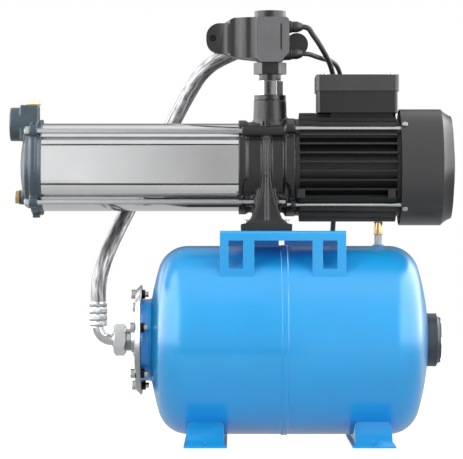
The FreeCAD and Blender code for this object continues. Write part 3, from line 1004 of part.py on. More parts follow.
def controller():
    """Pressure controller on the outlet: nipple, seals, fluted body, cover, flow valve and reset button."""
    at = (s.outlet_x, 0)
    washer_low = s.boss_top
    washer_high = s.nipple_hex_low
    washer = rod("NippleWasher", s.washer_ring_r, "z", washer_low, washer_high, at)
    ring_low = s.nipple_hex_high
    ring = rod("NippleRing", s.seal_ring_r, "z", ring_low, s.collar_low, at)
    seals = [cut(f"{seal.Name}Bored", seal, rod(f"{seal.Name}Bore", s.nipple_r + s.lap_gap, "z",
                                                washer_low - 1, s.collar_low + 1, at))
             for seal in (washer, ring)]
    node("nipple_seals", group("NippleSeals", *seals))
    nipple = fuse("NippleBlank",
                  rod("NippleTube", s.nipple_r, "z", washer_low - 16, s.collar_low + 14, at),
                  hexagon("NippleHex", s.nipple_hex_r, "z", washer_high, ring_low, at, 30))
    node("discharge_nipple", cut("Nipple", nipple, rod("NippleBore", s.nipple_bore_r, "z", washer_low - 17,
                                                       s.collar_low + 15, at)))
    half, low, high = s.ctrl_half, s.ctrl_low, s.ctrl_high
    left, right = s.ctrl_left, s.ctrl_right
    front_face = profile("ControllerFace", "y", -half - 1, half + 1, [
        (s.ear_left, s.ear_low + s.ear_round_r), (s.ear_left + s.ear_round_r, s.ear_low, s.ear_round_r),
        (left, s.ear_low), (left + 14, low), (s.outlet_x - 20, low - 3),
        (s.outlet_x - 14, s.collar_high), (s.outlet_x + 14, s.collar_high), (right - 8, low - 2),
        (right, low + 6), (right, high - 6), (right - 6, high, 6), (left + 14, high), (left, s.ear_high),
        (s.ear_left + s.ear_round_r, s.ear_high), (s.ear_left, s.ear_high - s.ear_round_r, s.ear_round_r)])
    step = (s.panel_left - left) / 3
    ear_y = s.ear_half
    plan = profile("ControllerPlan", "z", s.collar_high, high, [
        (s.ear_left, -ear_y), (left, -ear_y), (left + step / 2, -ear_y - 12, -step),
        (left + step * 1.5, -half * 0.68, -step), (left + step * 2.2, -half * 0.8, step),
        (s.panel_left, -half, -step), (s.panel_right, -half), (right, -half + 5),
        (right, half - 5), (s.panel_right, half), (s.panel_left, half),
        (left + step * 2.2, half * 0.8, -step), (left + step * 1.5, half * 0.68, step),
        (left + step / 2, ear_y + 12, -step), (left, ear_y, -step), (s.ear_left, ear_y)])
    form = common("ControllerForm", front_face, plan)
    top = rod("ControllerTop", s.ctrl_top_r, "z", high - 1, s.ctrl_top, at)
    collar = hexagon("ControllerCollar", s.collar_hex_r, "z", s.collar_low, s.collar_high + 1, at)
    capsule = rod("ControllerCapsule", 17, "y", s.ear_half, half - 6, (right + 12, (low + high) / 2 - 8))
    pods = [rod(f"GlandPod{i}", s.gland_r + 1.5, "x", right - 8, right + 1, spot)
            for i, spot in enumerate(controller_gland_spots())]
    blank = fuse("ControllerBlank", form, top, collar, capsule, *pods)
    inlet = rod("ControllerInlet", s.nipple_r + s.lap_gap, "z", s.collar_low - 1, s.collar_low + 15, at)
    seat_z = low + 12
    seat = rod("ControllerSeat", s.seat_r, "z", s.collar_low, seat_z + 1, at)
    passage_high = high - 13
    passage = rod("ControllerPassage", s.passage_r, "z", seat_z, passage_high, at)
    outlet_low = s.ctrl_top - 18
    outlet = rod("ControllerOutlet", s.outlet_bore_r, "z", outlet_low, s.ctrl_top + 1, at)
    throat = rod("ControllerThroat", s.seat_r, "z", passage_high - 1, outlet_low + 1, at)
    screw_hole = rod("EarScrewHole", 5, "y", -ear_y - 1, -ear_y + 3, (s.ear_left + s.ear_round_r / 2,
                                                                     (s.ear_low + s.ear_high) / 2))
    slit = block("PanelSlit", (s.panel_right - 1, s.panel_right), (-half - 1, -half + 3), (low + 8, high - 10))
    cover_y = s.ctrl_cover_y
    behind = block("BehindSeam", (s.ear_left - 1, right + 40), (cover_y, half + 9), (s.collar_high + 4, high + 1))
    core = rod("WaterCore", s.ctrl_top_r, "z", s.collar_low, s.ctrl_top, at)
    cover_zone = cut("CoverZone", behind, core)
    tee = rod("TankTee", s.elbow_tube_r + s.lap_gap, "y", 0, half + 1, (s.upper_elbow_x, s.upper_elbow_z))
    pod_bores = [rod(f"PodBore{i}", s.gland_r - 2, "x", right - 7, right + 2, spot)
                 for i, spot in enumerate(controller_gland_spots())]
    node("controller_body", cut("ControllerBody", blank, cover_zone, inlet, seat, passage, throat, outlet,
                                screw_hole, slit, tee, *pod_bores))
    zone_in = block("CoverBehind", (s.ear_left - 1, right + 40), (cover_y + s.ctrl_seam, half + 9),
                    (s.collar_high + 4, high + 1))
    around = rod("AroundCore", s.ctrl_top_r + s.ctrl_seam, "z", s.collar_low, s.ctrl_top, at)
    button_at = controller_button_spot()
    tee_clear = rod("TankTeeClear", s.elbow_tube_r + 1, "y", 0, half + 1, (s.upper_elbow_x, s.upper_elbow_z))
    button_low = half - 10
    button_way = rod("ButtonWay", s.button_r + s.button_gap, "y",
                     button_low - s.button_travel - s.button_gap, half + 1, button_at)
    node("controller_cover", cut("ControllerCover", common("CoverForm", form, zone_in), around, tee_clear,
                                 button_way))
    disc_low = seat_z + s.button_gap
    spring_low = disc_low + s.poppet_t
    stem_high = passage_high - s.poppet_lift - s.running_gap
    poppet = turned("Poppet", [(disc_low, 0), (disc_low, s.poppet_r), (spring_low, s.poppet_r),
                               (spring_low, s.poppet_stem_r), (stem_high, s.poppet_stem_r),
                               (stem_high, 0)], "z", at)
    node("flow_valve", poppet)
    coil = turned("ValveSpring", [(spring_low, s.poppet_stem_r + 3), (spring_low, s.poppet_stem_r + 5),
                                  (passage_high, s.poppet_stem_r + 5), (passage_high, s.poppet_stem_r + 3)],
                  "z", at)
    node("flow_valve_spring", coil)
    button = rod("ResetButton", s.button_r, "y", button_low, half + s.button_out, button_at)
    node("reset_button", button)


def controller_gland_spots():
    """(y, z) of the two cable glands on the controller's motor side."""
    return [(s.gland_y, s.ctrl_high - 12), (s.gland_y, s.ctrl_low + 6.2)]


def controller_button_spot():
    return (s.outlet_x - 40, (s.ctrl_low + s.ctrl_high) / 2 + 6)


def glands():
    """Ribbed cable glands: two on the controller, one on the terminal box."""
    pieces = []
    bore = s.gland_bore_r
    neck, nut, mouth = s.gland_r - 2.2, s.gland_r, s.gland_r - 3
    length = s.gland_length
    spots = [("x", s.ctrl_right + 1, spot) for spot in controller_gland_spots()]
    spots += [("y", s.box_half, spot) for spot in box_gland_spots()]
    for i, (axis, face, spot) in enumerate(spots):
        pieces.append(turned(f"Gland{i}", [
            (face - 8, bore), (face - 8, neck), (face, neck), (face, nut + 1), (face + 3, nut + 1),
            (face + 3, nut), (face + length * 0.6, nut), (face + length, mouth), (face + length, bore)],
            axis, spot))
    node("cable_glands", group("Glands", *pieces))


def hose_fittings(boss_x):
    """Union nut and elbow at the tank, tilted elbow at the controller, and the crimped ferrules."""
    union_right = boss_x - s.union_gap
    union_left = union_right - s.union_t
    nut = turned("UnionCone", [(union_left, 0), (union_left, s.union_r - 5), (union_left + 4, s.union_r + 1),
                               (union_right - 4, s.union_r + 1), (union_right, s.union_r - 4), (union_right, 0)],
                 "x", TANK)
    hexed = common("UnionForm", nut, hexagon("UnionHex", s.union_r, "x", union_left, union_right, TANK, 30))
    thread = rod("UnionThread", s.spigot_r + s.lap_gap, "x", boss_x - s.spigot_length, union_right + 1, TANK)
    neck = rod("UnionNeck", s.elbow_tube_r + s.lap_gap, "x", union_left - 1, union_right, TANK)
    node("union_nut", cut("UnionNut", hexed, thread, neck))
    end_x = union_left - s.union_stub
    s.hose_foot_x = end_x - s.elbow_bend_r
    tail_z = s.tank_axis_z + s.elbow_bend_r
    bend = doc.addObject("Part::Torus", "LowerBend")
    bind(bend, "Radius1", s.elbow_bend_r)
    bind(bend, "Radius2", s.elbow_tube_r)
    bend.Angle3 = 90
    place(bend, (end_x, 0, tail_z), Rotation(Vector(1, 0, 0), 90) * Rotation(Vector(0, 0, 1), 180))
    stub = rod("LowerStub", s.elbow_tube_r, "x", end_x, boss_x - s.spigot_length - s.lap_gap, TANK)
    collar = rod("LowerCollar", s.union_collar_r, "x", end_x + 1, union_left - s.lap_gap, TANK)
    tail_at = (s.hose_foot_x, 0)
    tail = rod("LowerTail", s.tail_r, "z", tail_z, tail_z + s.ferrule_length - 2, tail_at)
    node("hose_elbow_tank", fuse("LowerElbow", bend, stub, collar, tail))
    sleeve = turned("LowerFerrule", [
        (tail_z + 1, s.tail_r + s.lap_gap), (tail_z + 1, s.ferrule_r - 1.5), (tail_z + 3, s.ferrule_r),
        (tail_z + s.ferrule_length - 3, s.ferrule_r), (tail_z + s.ferrule_length, s.ferrule_r - 1),
        (tail_z + s.ferrule_length, s.tail_r + s.lap_gap)], "z", tail_at)
    tilt = Rotation(Vector(0, 1, 0), -s.upper_elbow_tilt.value)
    wall_y = s.ctrl_half
    turn_y = s.hose_y - s.upper_elbow_bend_r
    arc = doc.addObject("Part::Torus", "UpperBend")
    bind(arc, "Radius1", s.upper_elbow_bend_r)
    bind(arc, "Radius2", s.elbow_tube_r)
    arc.Angle3 = 90
    place(arc, (-s.upper_elbow_bend_r, turn_y, 0))
    stem = rod("UpperStem", s.elbow_tube_r, "y", s.ctrl_top_r, turn_y, (0, 0))
    flange = rod("UpperFlange", s.elbow_tube_r + 5, "y", wall_y + s.lap_gap, wall_y + 4, (0, 0))
    tail_x = -s.upper_elbow_bend_r
    barb = rod("UpperTail", s.tail_r, "x", tail_x - s.ferrule_length + 2, tail_x, (s.hose_y, 0))
    elbow = fuse("UpperElbow", arc, stem, flange, barb)
    place(elbow, (s.upper_elbow_x, 0, s.upper_elbow_z), tilt)
    node("hose_elbow_controller", elbow)
    crimp = turned("UpperFerruleBlank", [
        (tail_x - s.ferrule_length, s.tail_r + s.lap_gap), (tail_x - s.ferrule_length, s.ferrule_r - 1),
        (tail_x - s.ferrule_length + 3, s.ferrule_r), (tail_x - 3, s.ferrule_r),
        (tail_x - 1, s.ferrule_r - 1.5), (tail_x - 1, s.tail_r + s.lap_gap)], "x", (s.hose_y, 0))
    upper = group("UpperFerrule", crimp)
    place(upper, (s.upper_elbow_x, 0, s.upper_elbow_z), tilt)
    node("hose_ferrules", group("Ferrules", sleeve, upper))


def pillar():
    """Brass pillar that steadies the motor, on a pale nylon foot on the tank's crown."""
    motor_low = s.pump_axis_z - root(s.fin_r * s.fin_r - s.fin_pitch * s.fin_pitch / 4)
    tank_top = s.tank_top
    foot_top, shaft_top = s.pillar_foot_top, motor_low - s.pillar_gap
    at = (s.pillar_x, 0)
    foot = turned("PillarFoot", [
        (tank_top - 4, 0), (tank_top - 4, s.pillar_flange_r), (tank_top + s.pillar_flange_t, s.pillar_flange_r),
        (tank_top + s.pillar_flange_t, s.pillar_foot_r), (foot_top, s.pillar_foot_r), (foot_top, 0)], "z", at)
    under = rod("PillarTank", s.tank_r, "x", s.pillar_x - 20, s.pillar_x + 20, TANK)
    node("pillar_foot", cut("PillarFootSeated", foot, under))
    shaft = turned("PillarShaft", [
        (foot_top, 0), (foot_top, s.pillar_r - 1), (foot_top + 1, s.pillar_r), (shaft_top - 1, s.pillar_r),
        (shaft_top, s.pillar_r - 1), (shaft_top, 0)], "z", at)
    node("support_pillar", shaft)


def tube_along(points, radius, name):
    """Round cord whose straight runs are joined by tangent arcs as large as the runs allow."""
    edges = []
    spots = [Vector(*p) for p in points]
    here = spots[0]
    for before, corner, after in zip(spots, spots[1:], spots[2:]):
        inward = (before - corner).normalize()
        outward = (after - corner).normalize()
        half_turn = (math.pi - inward.getAngle(outward)) / 2
        reach = 0.45 * min((before - corner).Length, (after - corner).Length)
        bend = reach / math.tan(half_turn)
        start, end = corner + inward * reach, corner + outward * reach
        middle = (inward + outward).normalize()
        hub = corner + middle * (bend / math.cos(half_turn))
        top = hub - middle * bend
        edges.append(Part.LineSegment(here, start).toShape())
        edges.append(Part.Arc(start, top, end).toShape())
        here = end
        print(f"{name}: bend radius {bend:.0f} mm, turn {math.degrees(2 * half_turn):.0f} degrees")
    edges.append(Part.LineSegment(here, spots[-1]).toShape())
    path = Part.Wire(edges)
    first = (spots[1] - spots[0]).normalize()
    section = Part.Wire([Part.Circle(spots[0], first, radius).toShape()])
    tube = path.makePipeShell([section], True, False)
    share = tube.Volume / (math.pi * radius ** 2 * path.Length)
    print(f"{name}: {path.Length:.0f} mm along the tube, volume share {share:.4f}")
    return tube


def cord(name, radius, points):
    """Node of one free cord, laid along points chosen by hand."""
    thing = doc.addObject("Part::Feature", name)
    thing.Shape = tube_along(points, radius, name)
    return node(name, thing)


def cords():
    """Braided hose to the tank, the pump lead, and the mains lead with its coil and plug."""
    hose_low = s.tank_axis_z.value + s.elbow_bend_r.value + s.ferrule_length.value
    tilt = math.radians(s.upper_elbow_tilt.value)
    out = s.upper_elbow_bend_r.value + s.ferrule_length.value
    top = (s.upper_elbow_x.value - out * math.cos(tilt), s.hose_y.value,
           s.upper_elbow_z.value - out * math.sin(tilt))
    lead_in = 25
    cord("braided_hose", s.hose_r.value, [
        (s.hose_foot_x.value, 0, hose_low), (s.hose_foot_x.value, 0, hose_low + lead_in),
        (-278, 4, 259), (-269, 16, 285), (-257, 37, 313), (-243, 62, 342), (-227, 82, 374), (-207, 92, 413),
        (-182, 92, 463), (-153, 84, 518), (-127, 76, 560),
        (top[0] - lead_in * math.cos(tilt), top[1], top[2] - lead_in * math.sin(tilt)), top])
    lower, upper = controller_gland_spots()[1], controller_gland_spots()[0]
    gland_x = s.ctrl_right.value + 1 + s.gland_length.value
    gland_y = s.gland_y.value
    coil_start_y = s.coil_y.value - s.coil_mean_r.value - s.mains_lead_r.value
    box_x, box_z = [c.value for c in box_gland_spots()[0]]
    box_y = s.box_half.value + s.gland_length.value
    straight = 9
    cord("pump_lead", s.pump_lead_r.value, [
        (gland_x, gland_y, lower[1].value), (gland_x + straight, gland_y, lower[1].value), (39, 8, 575.5),
        (48, 24, 573.5), (57, 44, 572.5), (66, 61, 571.5), (75, 75, 566), (81, 86, 554), (83.5, 95, 538),
        (80, 103, 523), (71, 109, 510), (60, 112, 502), (50.5, 106, 498), (47, 94, 498.5),
        (50, 81, 501.5), (box_x, box_y, box_z)])
    cord("mains_lead", s.mains_lead_r.value, [
        (gland_x, gland_y, upper[1].value), (gland_x + straight, gland_y, upper[1].value), (36, 4, 608),
        (45, 9, 596), (53, 16, 583.5), (61, 29, 570.5), (67, 48, 557), (71.5, 64, 540), (76, 83, 509),
        (78.5, 101, 466), (78, 120, 413), (74, 131, 357), (71, 140, 306), (69, 147, 254), (68, 152, 202),
        (69, 155, 152), (69, 156, 106), (66, 156, 69), (57, 157, 39), (42, 159, 18), (22, 160, 6),
        (s.coil_x.value, coil_start_y, s.mains_lead_r.value)])
    coil_and_plug()


def coil_and_plug():
    """Coil of spare mains lead on the floor behind the tank, and the plug beside it."""
    cord_r = s.mains_lead_r
    inner, outer = s.coil_mean_r - 2 * cord_r, s.coil_mean_r + 2 * cord_r
    high = cord_r * 2 + cord_r * root(3)
    node("mains_coil", turned("CoilForm", [
        (0, inner + cord_r, -cord_r), (0, outer - cord_r), (cord_r, outer, -cord_r), (high - cord_r, outer),
        (high, outer - cord_r, -cord_r), (high, inner + cord_r), (high - cord_r, inner, -cord_r),
        (cord_r, inner)], "z", (s.coil_x, s.coil_y)))
    tail_y = s.coil_y + s.coil_mean_r + cord_r
    axis_z = cord_r + cord_r * root(3)
    relief_x = s.coil_x + 2 * cord_r
    body_x = relief_x + s.plug_relief
    face_x = body_x + s.plug_length
    relief = turned("PlugRelief", [
        (relief_x, 0), (relief_x, cord_r + 0.6), (body_x, cord_r * 2), (body_x + 1, cord_r * 2), (body_x + 1, 0)],
        "x", (tail_y, axis_z))
    half_w = s.plug_half_w
    body = profile("PlugBody", "z", 0, axis_z * 2, [
        (body_x, tail_y - half_w * 0.55), (face_x - 12, tail_y - half_w), (face_x, tail_y - half_w),
        (face_x, tail_y + half_w), (face_x - 12, tail_y + half_w), (body_x, tail_y + half_w * 0.55)])
    pins = [rod(f"PlugPin{side}", s.plug_pin_r, "x", face_x - 2, face_x + s.plug_pin_length,
                (tail_y + s.plug_pin_pitch / 2 * side, axis_z)) for side in (-1, 1)]
    node("mains_plug", fuse("Plug", relief, body, *pins))


def export():
    """Write each finished sub-part, once every object has proved sound."""
    doc.recompute()
    for thing in doc.Objects:
        if "Invalid" in thing.State or "Error" in thing.State:
            raise RuntimeError(f"{thing.Label} failed: {thing.State}")
    os.makedirs("parts", exist_ok=True)
    for thing in NODES:
        shape = thing.Shape
        if shape.isNull() or not shape.isValid() or not shape.Solids:
            raise RuntimeError(f"{thing.Label} has no sound shape")
    for thing in NODES:
        thing.Shape.exportStep(f"parts/{thing.Label}.step")
    print(f"{len(NODES)} sub-parts written")


crown_centre = tank_shell()
boss_face = tank_flange()
tank_feet()
air_valve(crown_centre)
bracket()
suction_casing()
plugs()
barrel()
hydraulics()
rotor()
lantern()
motor()
terminal_box()
controller()
glands()
hose_fittings(boss_face)
pillar()
cords()
node("hex_bolts", group("HexBolts", *M8_BOLTS))
node("hex_nuts", group("HexNuts", *M8_NUTS))
node("case_screws", group("CaseScrews", *CASE_SCREWS))
export()
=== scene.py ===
import json
import math
import bmesh
import bpy
import numpy as np
from mathutils import Matrix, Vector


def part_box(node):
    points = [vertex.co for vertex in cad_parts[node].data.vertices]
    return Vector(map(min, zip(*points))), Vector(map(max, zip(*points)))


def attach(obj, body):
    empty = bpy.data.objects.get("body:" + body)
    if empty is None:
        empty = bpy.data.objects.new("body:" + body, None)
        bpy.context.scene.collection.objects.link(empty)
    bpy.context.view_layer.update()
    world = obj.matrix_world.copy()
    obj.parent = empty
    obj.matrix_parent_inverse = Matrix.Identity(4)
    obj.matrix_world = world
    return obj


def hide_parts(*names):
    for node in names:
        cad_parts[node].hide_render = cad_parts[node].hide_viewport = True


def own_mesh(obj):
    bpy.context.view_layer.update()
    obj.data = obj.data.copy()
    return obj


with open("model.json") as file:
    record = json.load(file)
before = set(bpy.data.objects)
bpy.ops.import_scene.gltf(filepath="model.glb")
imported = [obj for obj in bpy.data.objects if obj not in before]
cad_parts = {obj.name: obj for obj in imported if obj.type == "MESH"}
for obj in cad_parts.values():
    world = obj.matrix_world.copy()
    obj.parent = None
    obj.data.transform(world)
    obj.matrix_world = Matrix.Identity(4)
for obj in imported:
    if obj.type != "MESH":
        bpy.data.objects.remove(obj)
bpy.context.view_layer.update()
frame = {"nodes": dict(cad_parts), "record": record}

# The studio.
# A pale floor under a plain white surround, lit by three large soft lamps. Narrow dark strips and a pale card in
# front, seen only in reflections, draw the lines that polished metal shows in a studio.
mm = 0.001


def linear(code):
    """sRGB hex to linear colour: c / 12.92 near black, ((c + 0.055) / 1.055) ** 2.4 above it."""
    parts = [int(code[i:i + 2], 16) / 255 for i in (0, 2, 4)]
    return [c / 12.92 if c <= 0.04045 else ((c + 0.055) / 1.055) ** 2.4 for c in parts] + [1.0]


def add(owner, kind, inputs=(), **settings):
    """One node with its settings; an input is a plain value, or a node or socket that it is linked to."""
    tree = owner.node_tree
    made = tree.nodes.new(kind)
    for name, value in settings.items():
        setattr(made, name, value)
    for name, value in dict(inputs).items():
        if isinstance(value, bpy.types.Node):
            value = value.outputs[0]
        if isinstance(value, bpy.types.NodeSocket):
            tree.links.new(value, made.inputs[name])
        else:
            made.inputs[name].default_value = value
    return made


def blank_material(name):
    material = bpy.data.materials.new(name)
    material.use_nodes = True
    material.node_tree.nodes.clear()
    return material


def mesh_piece(name, points, faces, uv=None, material=None, smooth_under=35, weld=False):
    """A piece from arrays: points (n, 3), faces (m, 4) by index, uv (n, 2) per point; creases stay sharp.
    weld merges the points that poles and closing rows share, and then turns every face outwards."""
    mesh = bpy.data.meshes.new(name)
    mesh.from_pydata(points.tolist(), [], faces.tolist())
    if uv is not None:
        layer = mesh.uv_layers.new(name="UVMap")
        layer.data.foreach_set("uv", uv[faces].reshape(-1))
    if weld:
        shape = bmesh.new()
        shape.from_mesh(mesh)
        bmesh.ops.remove_doubles(shape, verts=shape.verts, dist=0.002 * mm)
        bmesh.ops.recalc_face_normals(shape, faces=shape.faces)
        shape.to_mesh(mesh)
        shape.free()
    mesh.polygons.foreach_set("use_smooth", np.ones(len(mesh.polygons), dtype=bool))
    mesh.set_sharp_from_angle(angle=math.radians(smooth_under))
    piece = bpy.data.objects.new(name, mesh)
    bpy.context.scene.collection.objects.link(piece)
    if material:
        mesh.materials.append(material)
    return piece


def sheet_faces(rows, columns, closed=False):
    """Four-sided faces of a grid of points, row by row; closed joins the last column to the first."""
    across = np.arange(columns if closed else columns - 1)
    down = np.arange(rows - 1)[:, None] * columns
    after = (across + 1) % columns
    return np.stack([down + across, down + after, down + columns + after, down + columns + across], 2).reshape(-1, 4)


floor_paper = blank_material("matt white studio paper")
light_path = add(floor_paper, "ShaderNodeLightPath")
paper_diffuse = add(floor_paper, "ShaderNodeBsdfDiffuse", {"Color": linear("f4f4f4")})
paper_bounce = add(floor_paper, "ShaderNodeBsdfDiffuse", {"Color": linear("e0e0e0")})
paper_glow = add(floor_paper, "ShaderNodeEmission", {"Color": linear("ffffff"), "Strength": 0.62})
paper_seen = add(floor_paper, "ShaderNodeMixShader", {0: 0.55, 1: paper_diffuse, 2: paper_glow})
paper_lit = add(floor_paper, "ShaderNodeAddShader", {0: paper_seen, 1: paper_glow})
paper_mix = add(floor_paper, "ShaderNodeMixShader", {0: light_path.outputs["Is Camera Ray"], 1: paper_bounce,
                                                     2: paper_lit})
# polished metal sees the paper as white as the surround, and greyer close to the set, where it lies in its shade
paper_place = add(floor_paper, "ShaderNodeSeparateXYZ", {0: add(floor_paper, "ShaderNodeTexCoord").outputs["Object"]})
paper_shade = add(floor_paper, "ShaderNodeMapRange", {"Value": paper_place.outputs["Y"], "From Min": -0.70,
                                                      "From Max": -0.20, "To Min": 1.0, "To Max": 0.6})
paper_mirrored = add(floor_paper, "ShaderNodeEmission", {"Color": linear("ffffff"), "Strength": paper_shade})
paper_shown = add(floor_paper, "ShaderNodeMixShader", {0: light_path.outputs["Is Glossy Ray"], 1: paper_mix,
                                                       2: paper_mirrored})
add(floor_paper, "ShaderNodeOutputMaterial", {"Surface": paper_shown})
# the paper lies a little under the feet, so that no faces coincide
floor_half, floor_z = 4.0, -0.0004
floor_grid = np.array([[x, y, floor_z] for y in (-floor_half, floor_half) for x in (-floor_half, floor_half)])
floor = mesh_piece("studio_floor", floor_grid, sheet_faces(2, 2), material=floor_paper)

world = bpy.data.worlds.new("studio surround")
world.use_nodes = True
world.node_tree.nodes.clear()
surround_path = add(world, "ShaderNodeLightPath")
surround_seen = add(world, "ShaderNodeBackground", {"Color": linear("ffffff"), "Strength": 1.0})
surround_lit = add(world, "ShaderNodeBackground", {"Color": linear("f3f6fa"), "Strength": 0.50})
# reflections also see a tall bright curtain on either side, soft at its edges
surround_way = add(world, "ShaderNodeSeparateXYZ", {0: add(world, "ShaderNodeTexCoord").outputs["Generated"]})
sideways = add(world, "ShaderNodeMath", {0: surround_way.outputs["X"]}, operation="ABSOLUTE")
curtain = add(world, "ShaderNodeValToRGB", {"Fac": sideways})
curtain.color_ramp.interpolation = "EASE"
curtain.color_ramp.elements[0].position = 0.36
curtain.color_ramp.elements[1].position = 0.54
curtain_light = add(world, "ShaderNodeMath", {0: curtain.outputs["Color"], 1: 3.4, 2: 1.0}, operation="MULTIPLY_ADD")
far_side = add(world, "ShaderNodeMapRange", {"Value": surround_way.outputs["Y"], "From Min": 0.70, "From Max": 0.95,
                                             "To Min": 1.0, "To Max": 0.15})
mirror_light = add(world, "ShaderNodeMath", {0: curtain_light, 1: far_side}, operation="MULTIPLY")
surround_mirrored = add(world, "ShaderNodeBackground", {"Color": linear("ffffff"), "Strength": mirror_light})
surround_mix = add(world, "ShaderNodeMixShader", {0: surround_path.outputs["Is Glossy Ray"], 1: surround_lit,
                                                  2: surround_mirrored})
surround_shown = add(world, "ShaderNodeMixShader", {0: surround_path.outputs["Is Camera Ray"], 1: surround_mix,
                                                    2: surround_seen})
add(world, "ShaderNodeOutputWorld", {"Surface": surround_shown})
bpy.context.scene.world = world
bpy.context.scene.view_settings.view_transform = "Standard"

# name, place, aim, width and height in metres, watts
lamps = (("overhead", (0.1, -0.9, 2.3), (0.0, 0.0, 0.45), 2.6, 1.1, 26),
         ("front_left", (-1.9, -2.3, 1.5), (-0.1, 0.0, 0.35), 1.0, 1.8, 22),
         ("front_right", (1.9, -2.2, 1.2), (0.1, 0.0, 0.30), 0.8, 1.6, 18))
for lamp_name, lamp_at, lamp_aim, lamp_wide, lamp_high, watts in lamps:
    lamp_data = bpy.data.lights.new(lamp_name, "AREA")
    lamp_data.shape = "RECTANGLE"
    lamp_data.size = lamp_wide
    lamp_data.size_y = lamp_high
    lamp_data.energy = watts
    lamp = bpy.data.objects.new(lamp_name, lamp_data)
    way = np.array(lamp_aim) - np.array(lamp_at)
    lamp.location = lamp_at
    lamp.rotation_euler = (math.atan2(math.hypot(way[0], way[1]), -way[2]), 0, math.atan2(way[1], way[0]) - math.pi / 2)
    lamp.visible_glossy = False
    bpy.context.scene.collection.objects.link(lamp)


def card(name, left_code, right_code, left_x, right_x):
    """A card that reflections see in one even tone from left_x to the left and another from right_x to the right."""
    material = blank_material(name)
    place = add(material, "ShaderNodeSeparateXYZ", {0: add(material, "ShaderNodeTexCoord").outputs["Object"]})
    across = add(material, "ShaderNodeMapRange", {"Value": place.outputs["X"], "From Min": left_x,
                                                  "From Max": right_x})
    tone = add(material, "ShaderNodeMix", {"Factor": across, 6: linear(left_code), 7: linear(right_code)},
               data_type="RGBA")
    add(material, "ShaderNodeOutputMaterial", {"Surface": add(material, "ShaderNodeEmission", {
        "Color": tone.outputs[2], "Strength": 1.0})})
    return material


flag_cloth = card("grey flag cloth", "484848", "303030", -0.35, -0.1)
dark_cloth = card("black flag cloth", "0c0c0c", "0c0c0c", 0, 1)
front_grey = card("pale graded reflector card", "ffffff", "c0c0c0", -0.37, -0.07)
# each strip: how far from the pump's axis, how far above the horizon as seen from there and how wide it looks
# (degrees), and how far along the pump it runs (metres)
pump_axis_z = 409 * mm
strips = (("upper_flag", 0.50, 57, 4.5, -0.45, 0.02, flag_cloth),
          ("back_flag", 0.50, 98, 4.5, -0.45, 0.02, flag_cloth),
          ("low_flag", 0.45, -43, 5.0, -0.45, 0.02, flag_cloth),
          ("front_card", 0.55, 7, 94, -0.37, 0.01, front_grey),
          ("nipple_flag", 0.233, 30.7, 12.0, -0.031, -0.023, dark_cloth))
for flag_name, flag_reach, flag_up, flag_wide, flag_from, flag_to, flag_material in strips:
    edge = np.radians(np.linspace(flag_up - flag_wide / 2, flag_up + flag_wide / 2, 9))
    strip = np.array([[x, -flag_reach * math.cos(a), pump_axis_z + flag_reach * math.sin(a)]
                      for a in edge for x in (flag_from, flag_to)])
    flag = mesh_piece(flag_name, strip, sheet_faces(9, 2), material=flag_material)
    flag.visible_camera = False
    flag.visible_diffuse = False
    flag.visible_shadow = False

# the photo's width and height in pixels, its scale, and where its upper left corner lies in the plane of the axis (mm)
photo_wide, photo_high = 463, 459
mm_per_pixel = 1.49
photo_left, photo_top = -429.4, 658.4
view_distance = 4.0
sensor_width = 36
camera_data = bpy.data.cameras.new("photo_view")
camera_data.sensor_width = sensor_width
camera_data.lens = sensor_width * view_distance / (photo_wide * mm_per_pixel * mm)
camera = bpy.data.objects.new("photo_view", camera_data)
camera.location = ((photo_left + photo_wide / 2 * mm_per_pixel) * mm, -view_distance,
                   (photo_top - photo_high / 2 * mm_per_pixel) * mm)
camera.rotation_euler = (math.radians(90), 0, 0)
bpy.context.scene.collection.objects.link(camera)
bpy.context.scene.camera = camera

# Tank: two drawn halves, lapped and welded round the middle, with a flanged neck on the left.
# Deep-drawn sheet steel 1.5 mm thick. The blue stove enamel over it flows out glossy, with a faint orange peel, and
# stands a little thicker over the weld bead.
tank_axis_z = 152
tank_at = (0, tank_axis_z)
carrier = {node: body for body, nodes in frame["record"]["behaviour"]["bodies"].items() for node in nodes}


def tank_head(start_out, wall):
    """Half section of a drawn head: crown (c + R cos f, R sin f) up to the tangent point, and from there the knuckle
    (a + k cos f, e + k sin f). wall is how far inside the outer skin it runs."""
    crown_r, knuckle_r, crown_centre, knuckle_at, knuckle_out = 380, 45, -172.247, 149, 95
    crown, knuckle = crown_r - wall, knuckle_r - wall
    tangent = math.asin(knuckle_out / (crown_r - knuckle_r))
    first = np.linspace(math.asin(start_out / crown), tangent, 28)
    then = np.linspace(tangent, math.pi / 2, 26)[1:]
    crown_arc = np.column_stack([crown_centre + crown * np.cos(first), crown * np.sin(first)])
    knuckle_arc = np.column_stack([knuckle_at + knuckle * np.cos(then), knuckle_out + knuckle * np.sin(then)])
    return np.concatenate([crown_arc, knuckle_arc])


def turned_piece(name, outline, axis, at, material, around=128, swell=None, crease=35):
    """Closed surface of revolution: (along, out) of the outline goes to along on the axis and to
    (out cos t, out sin t) across it. swell(along, out, t) is added to out."""
    ring = np.vstack([outline, outline[:1]])
    t = np.arange(around) * 2 * math.pi / around
    along, out = np.broadcast_arrays(ring[:, :1], ring[:, 1:] + 0 * t)
    if swell:
        out = out + swell(along, out, t[None, :])
    across, over = out * np.cos(t), out * np.sin(t)
    order = {"x": (along, at[0] + across, at[1] + over), "z": (at[0] + across, at[1] + over, along)}[axis]
    faces = sheet_faces(len(ring), around, closed=True)
    uv = np.column_stack([np.tile(t / (2 * math.pi), len(ring)), along.ravel() * mm])
    return mesh_piece(name, np.stack(order, 2).reshape(-1, 3) * mm, faces, uv, material, crease, weld=True)


def worn(piece, node):
    """The piece stands for this node: it rides where the node does, and the node is hidden."""
    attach(piece, carrier[node])
    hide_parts(node)
    return piece


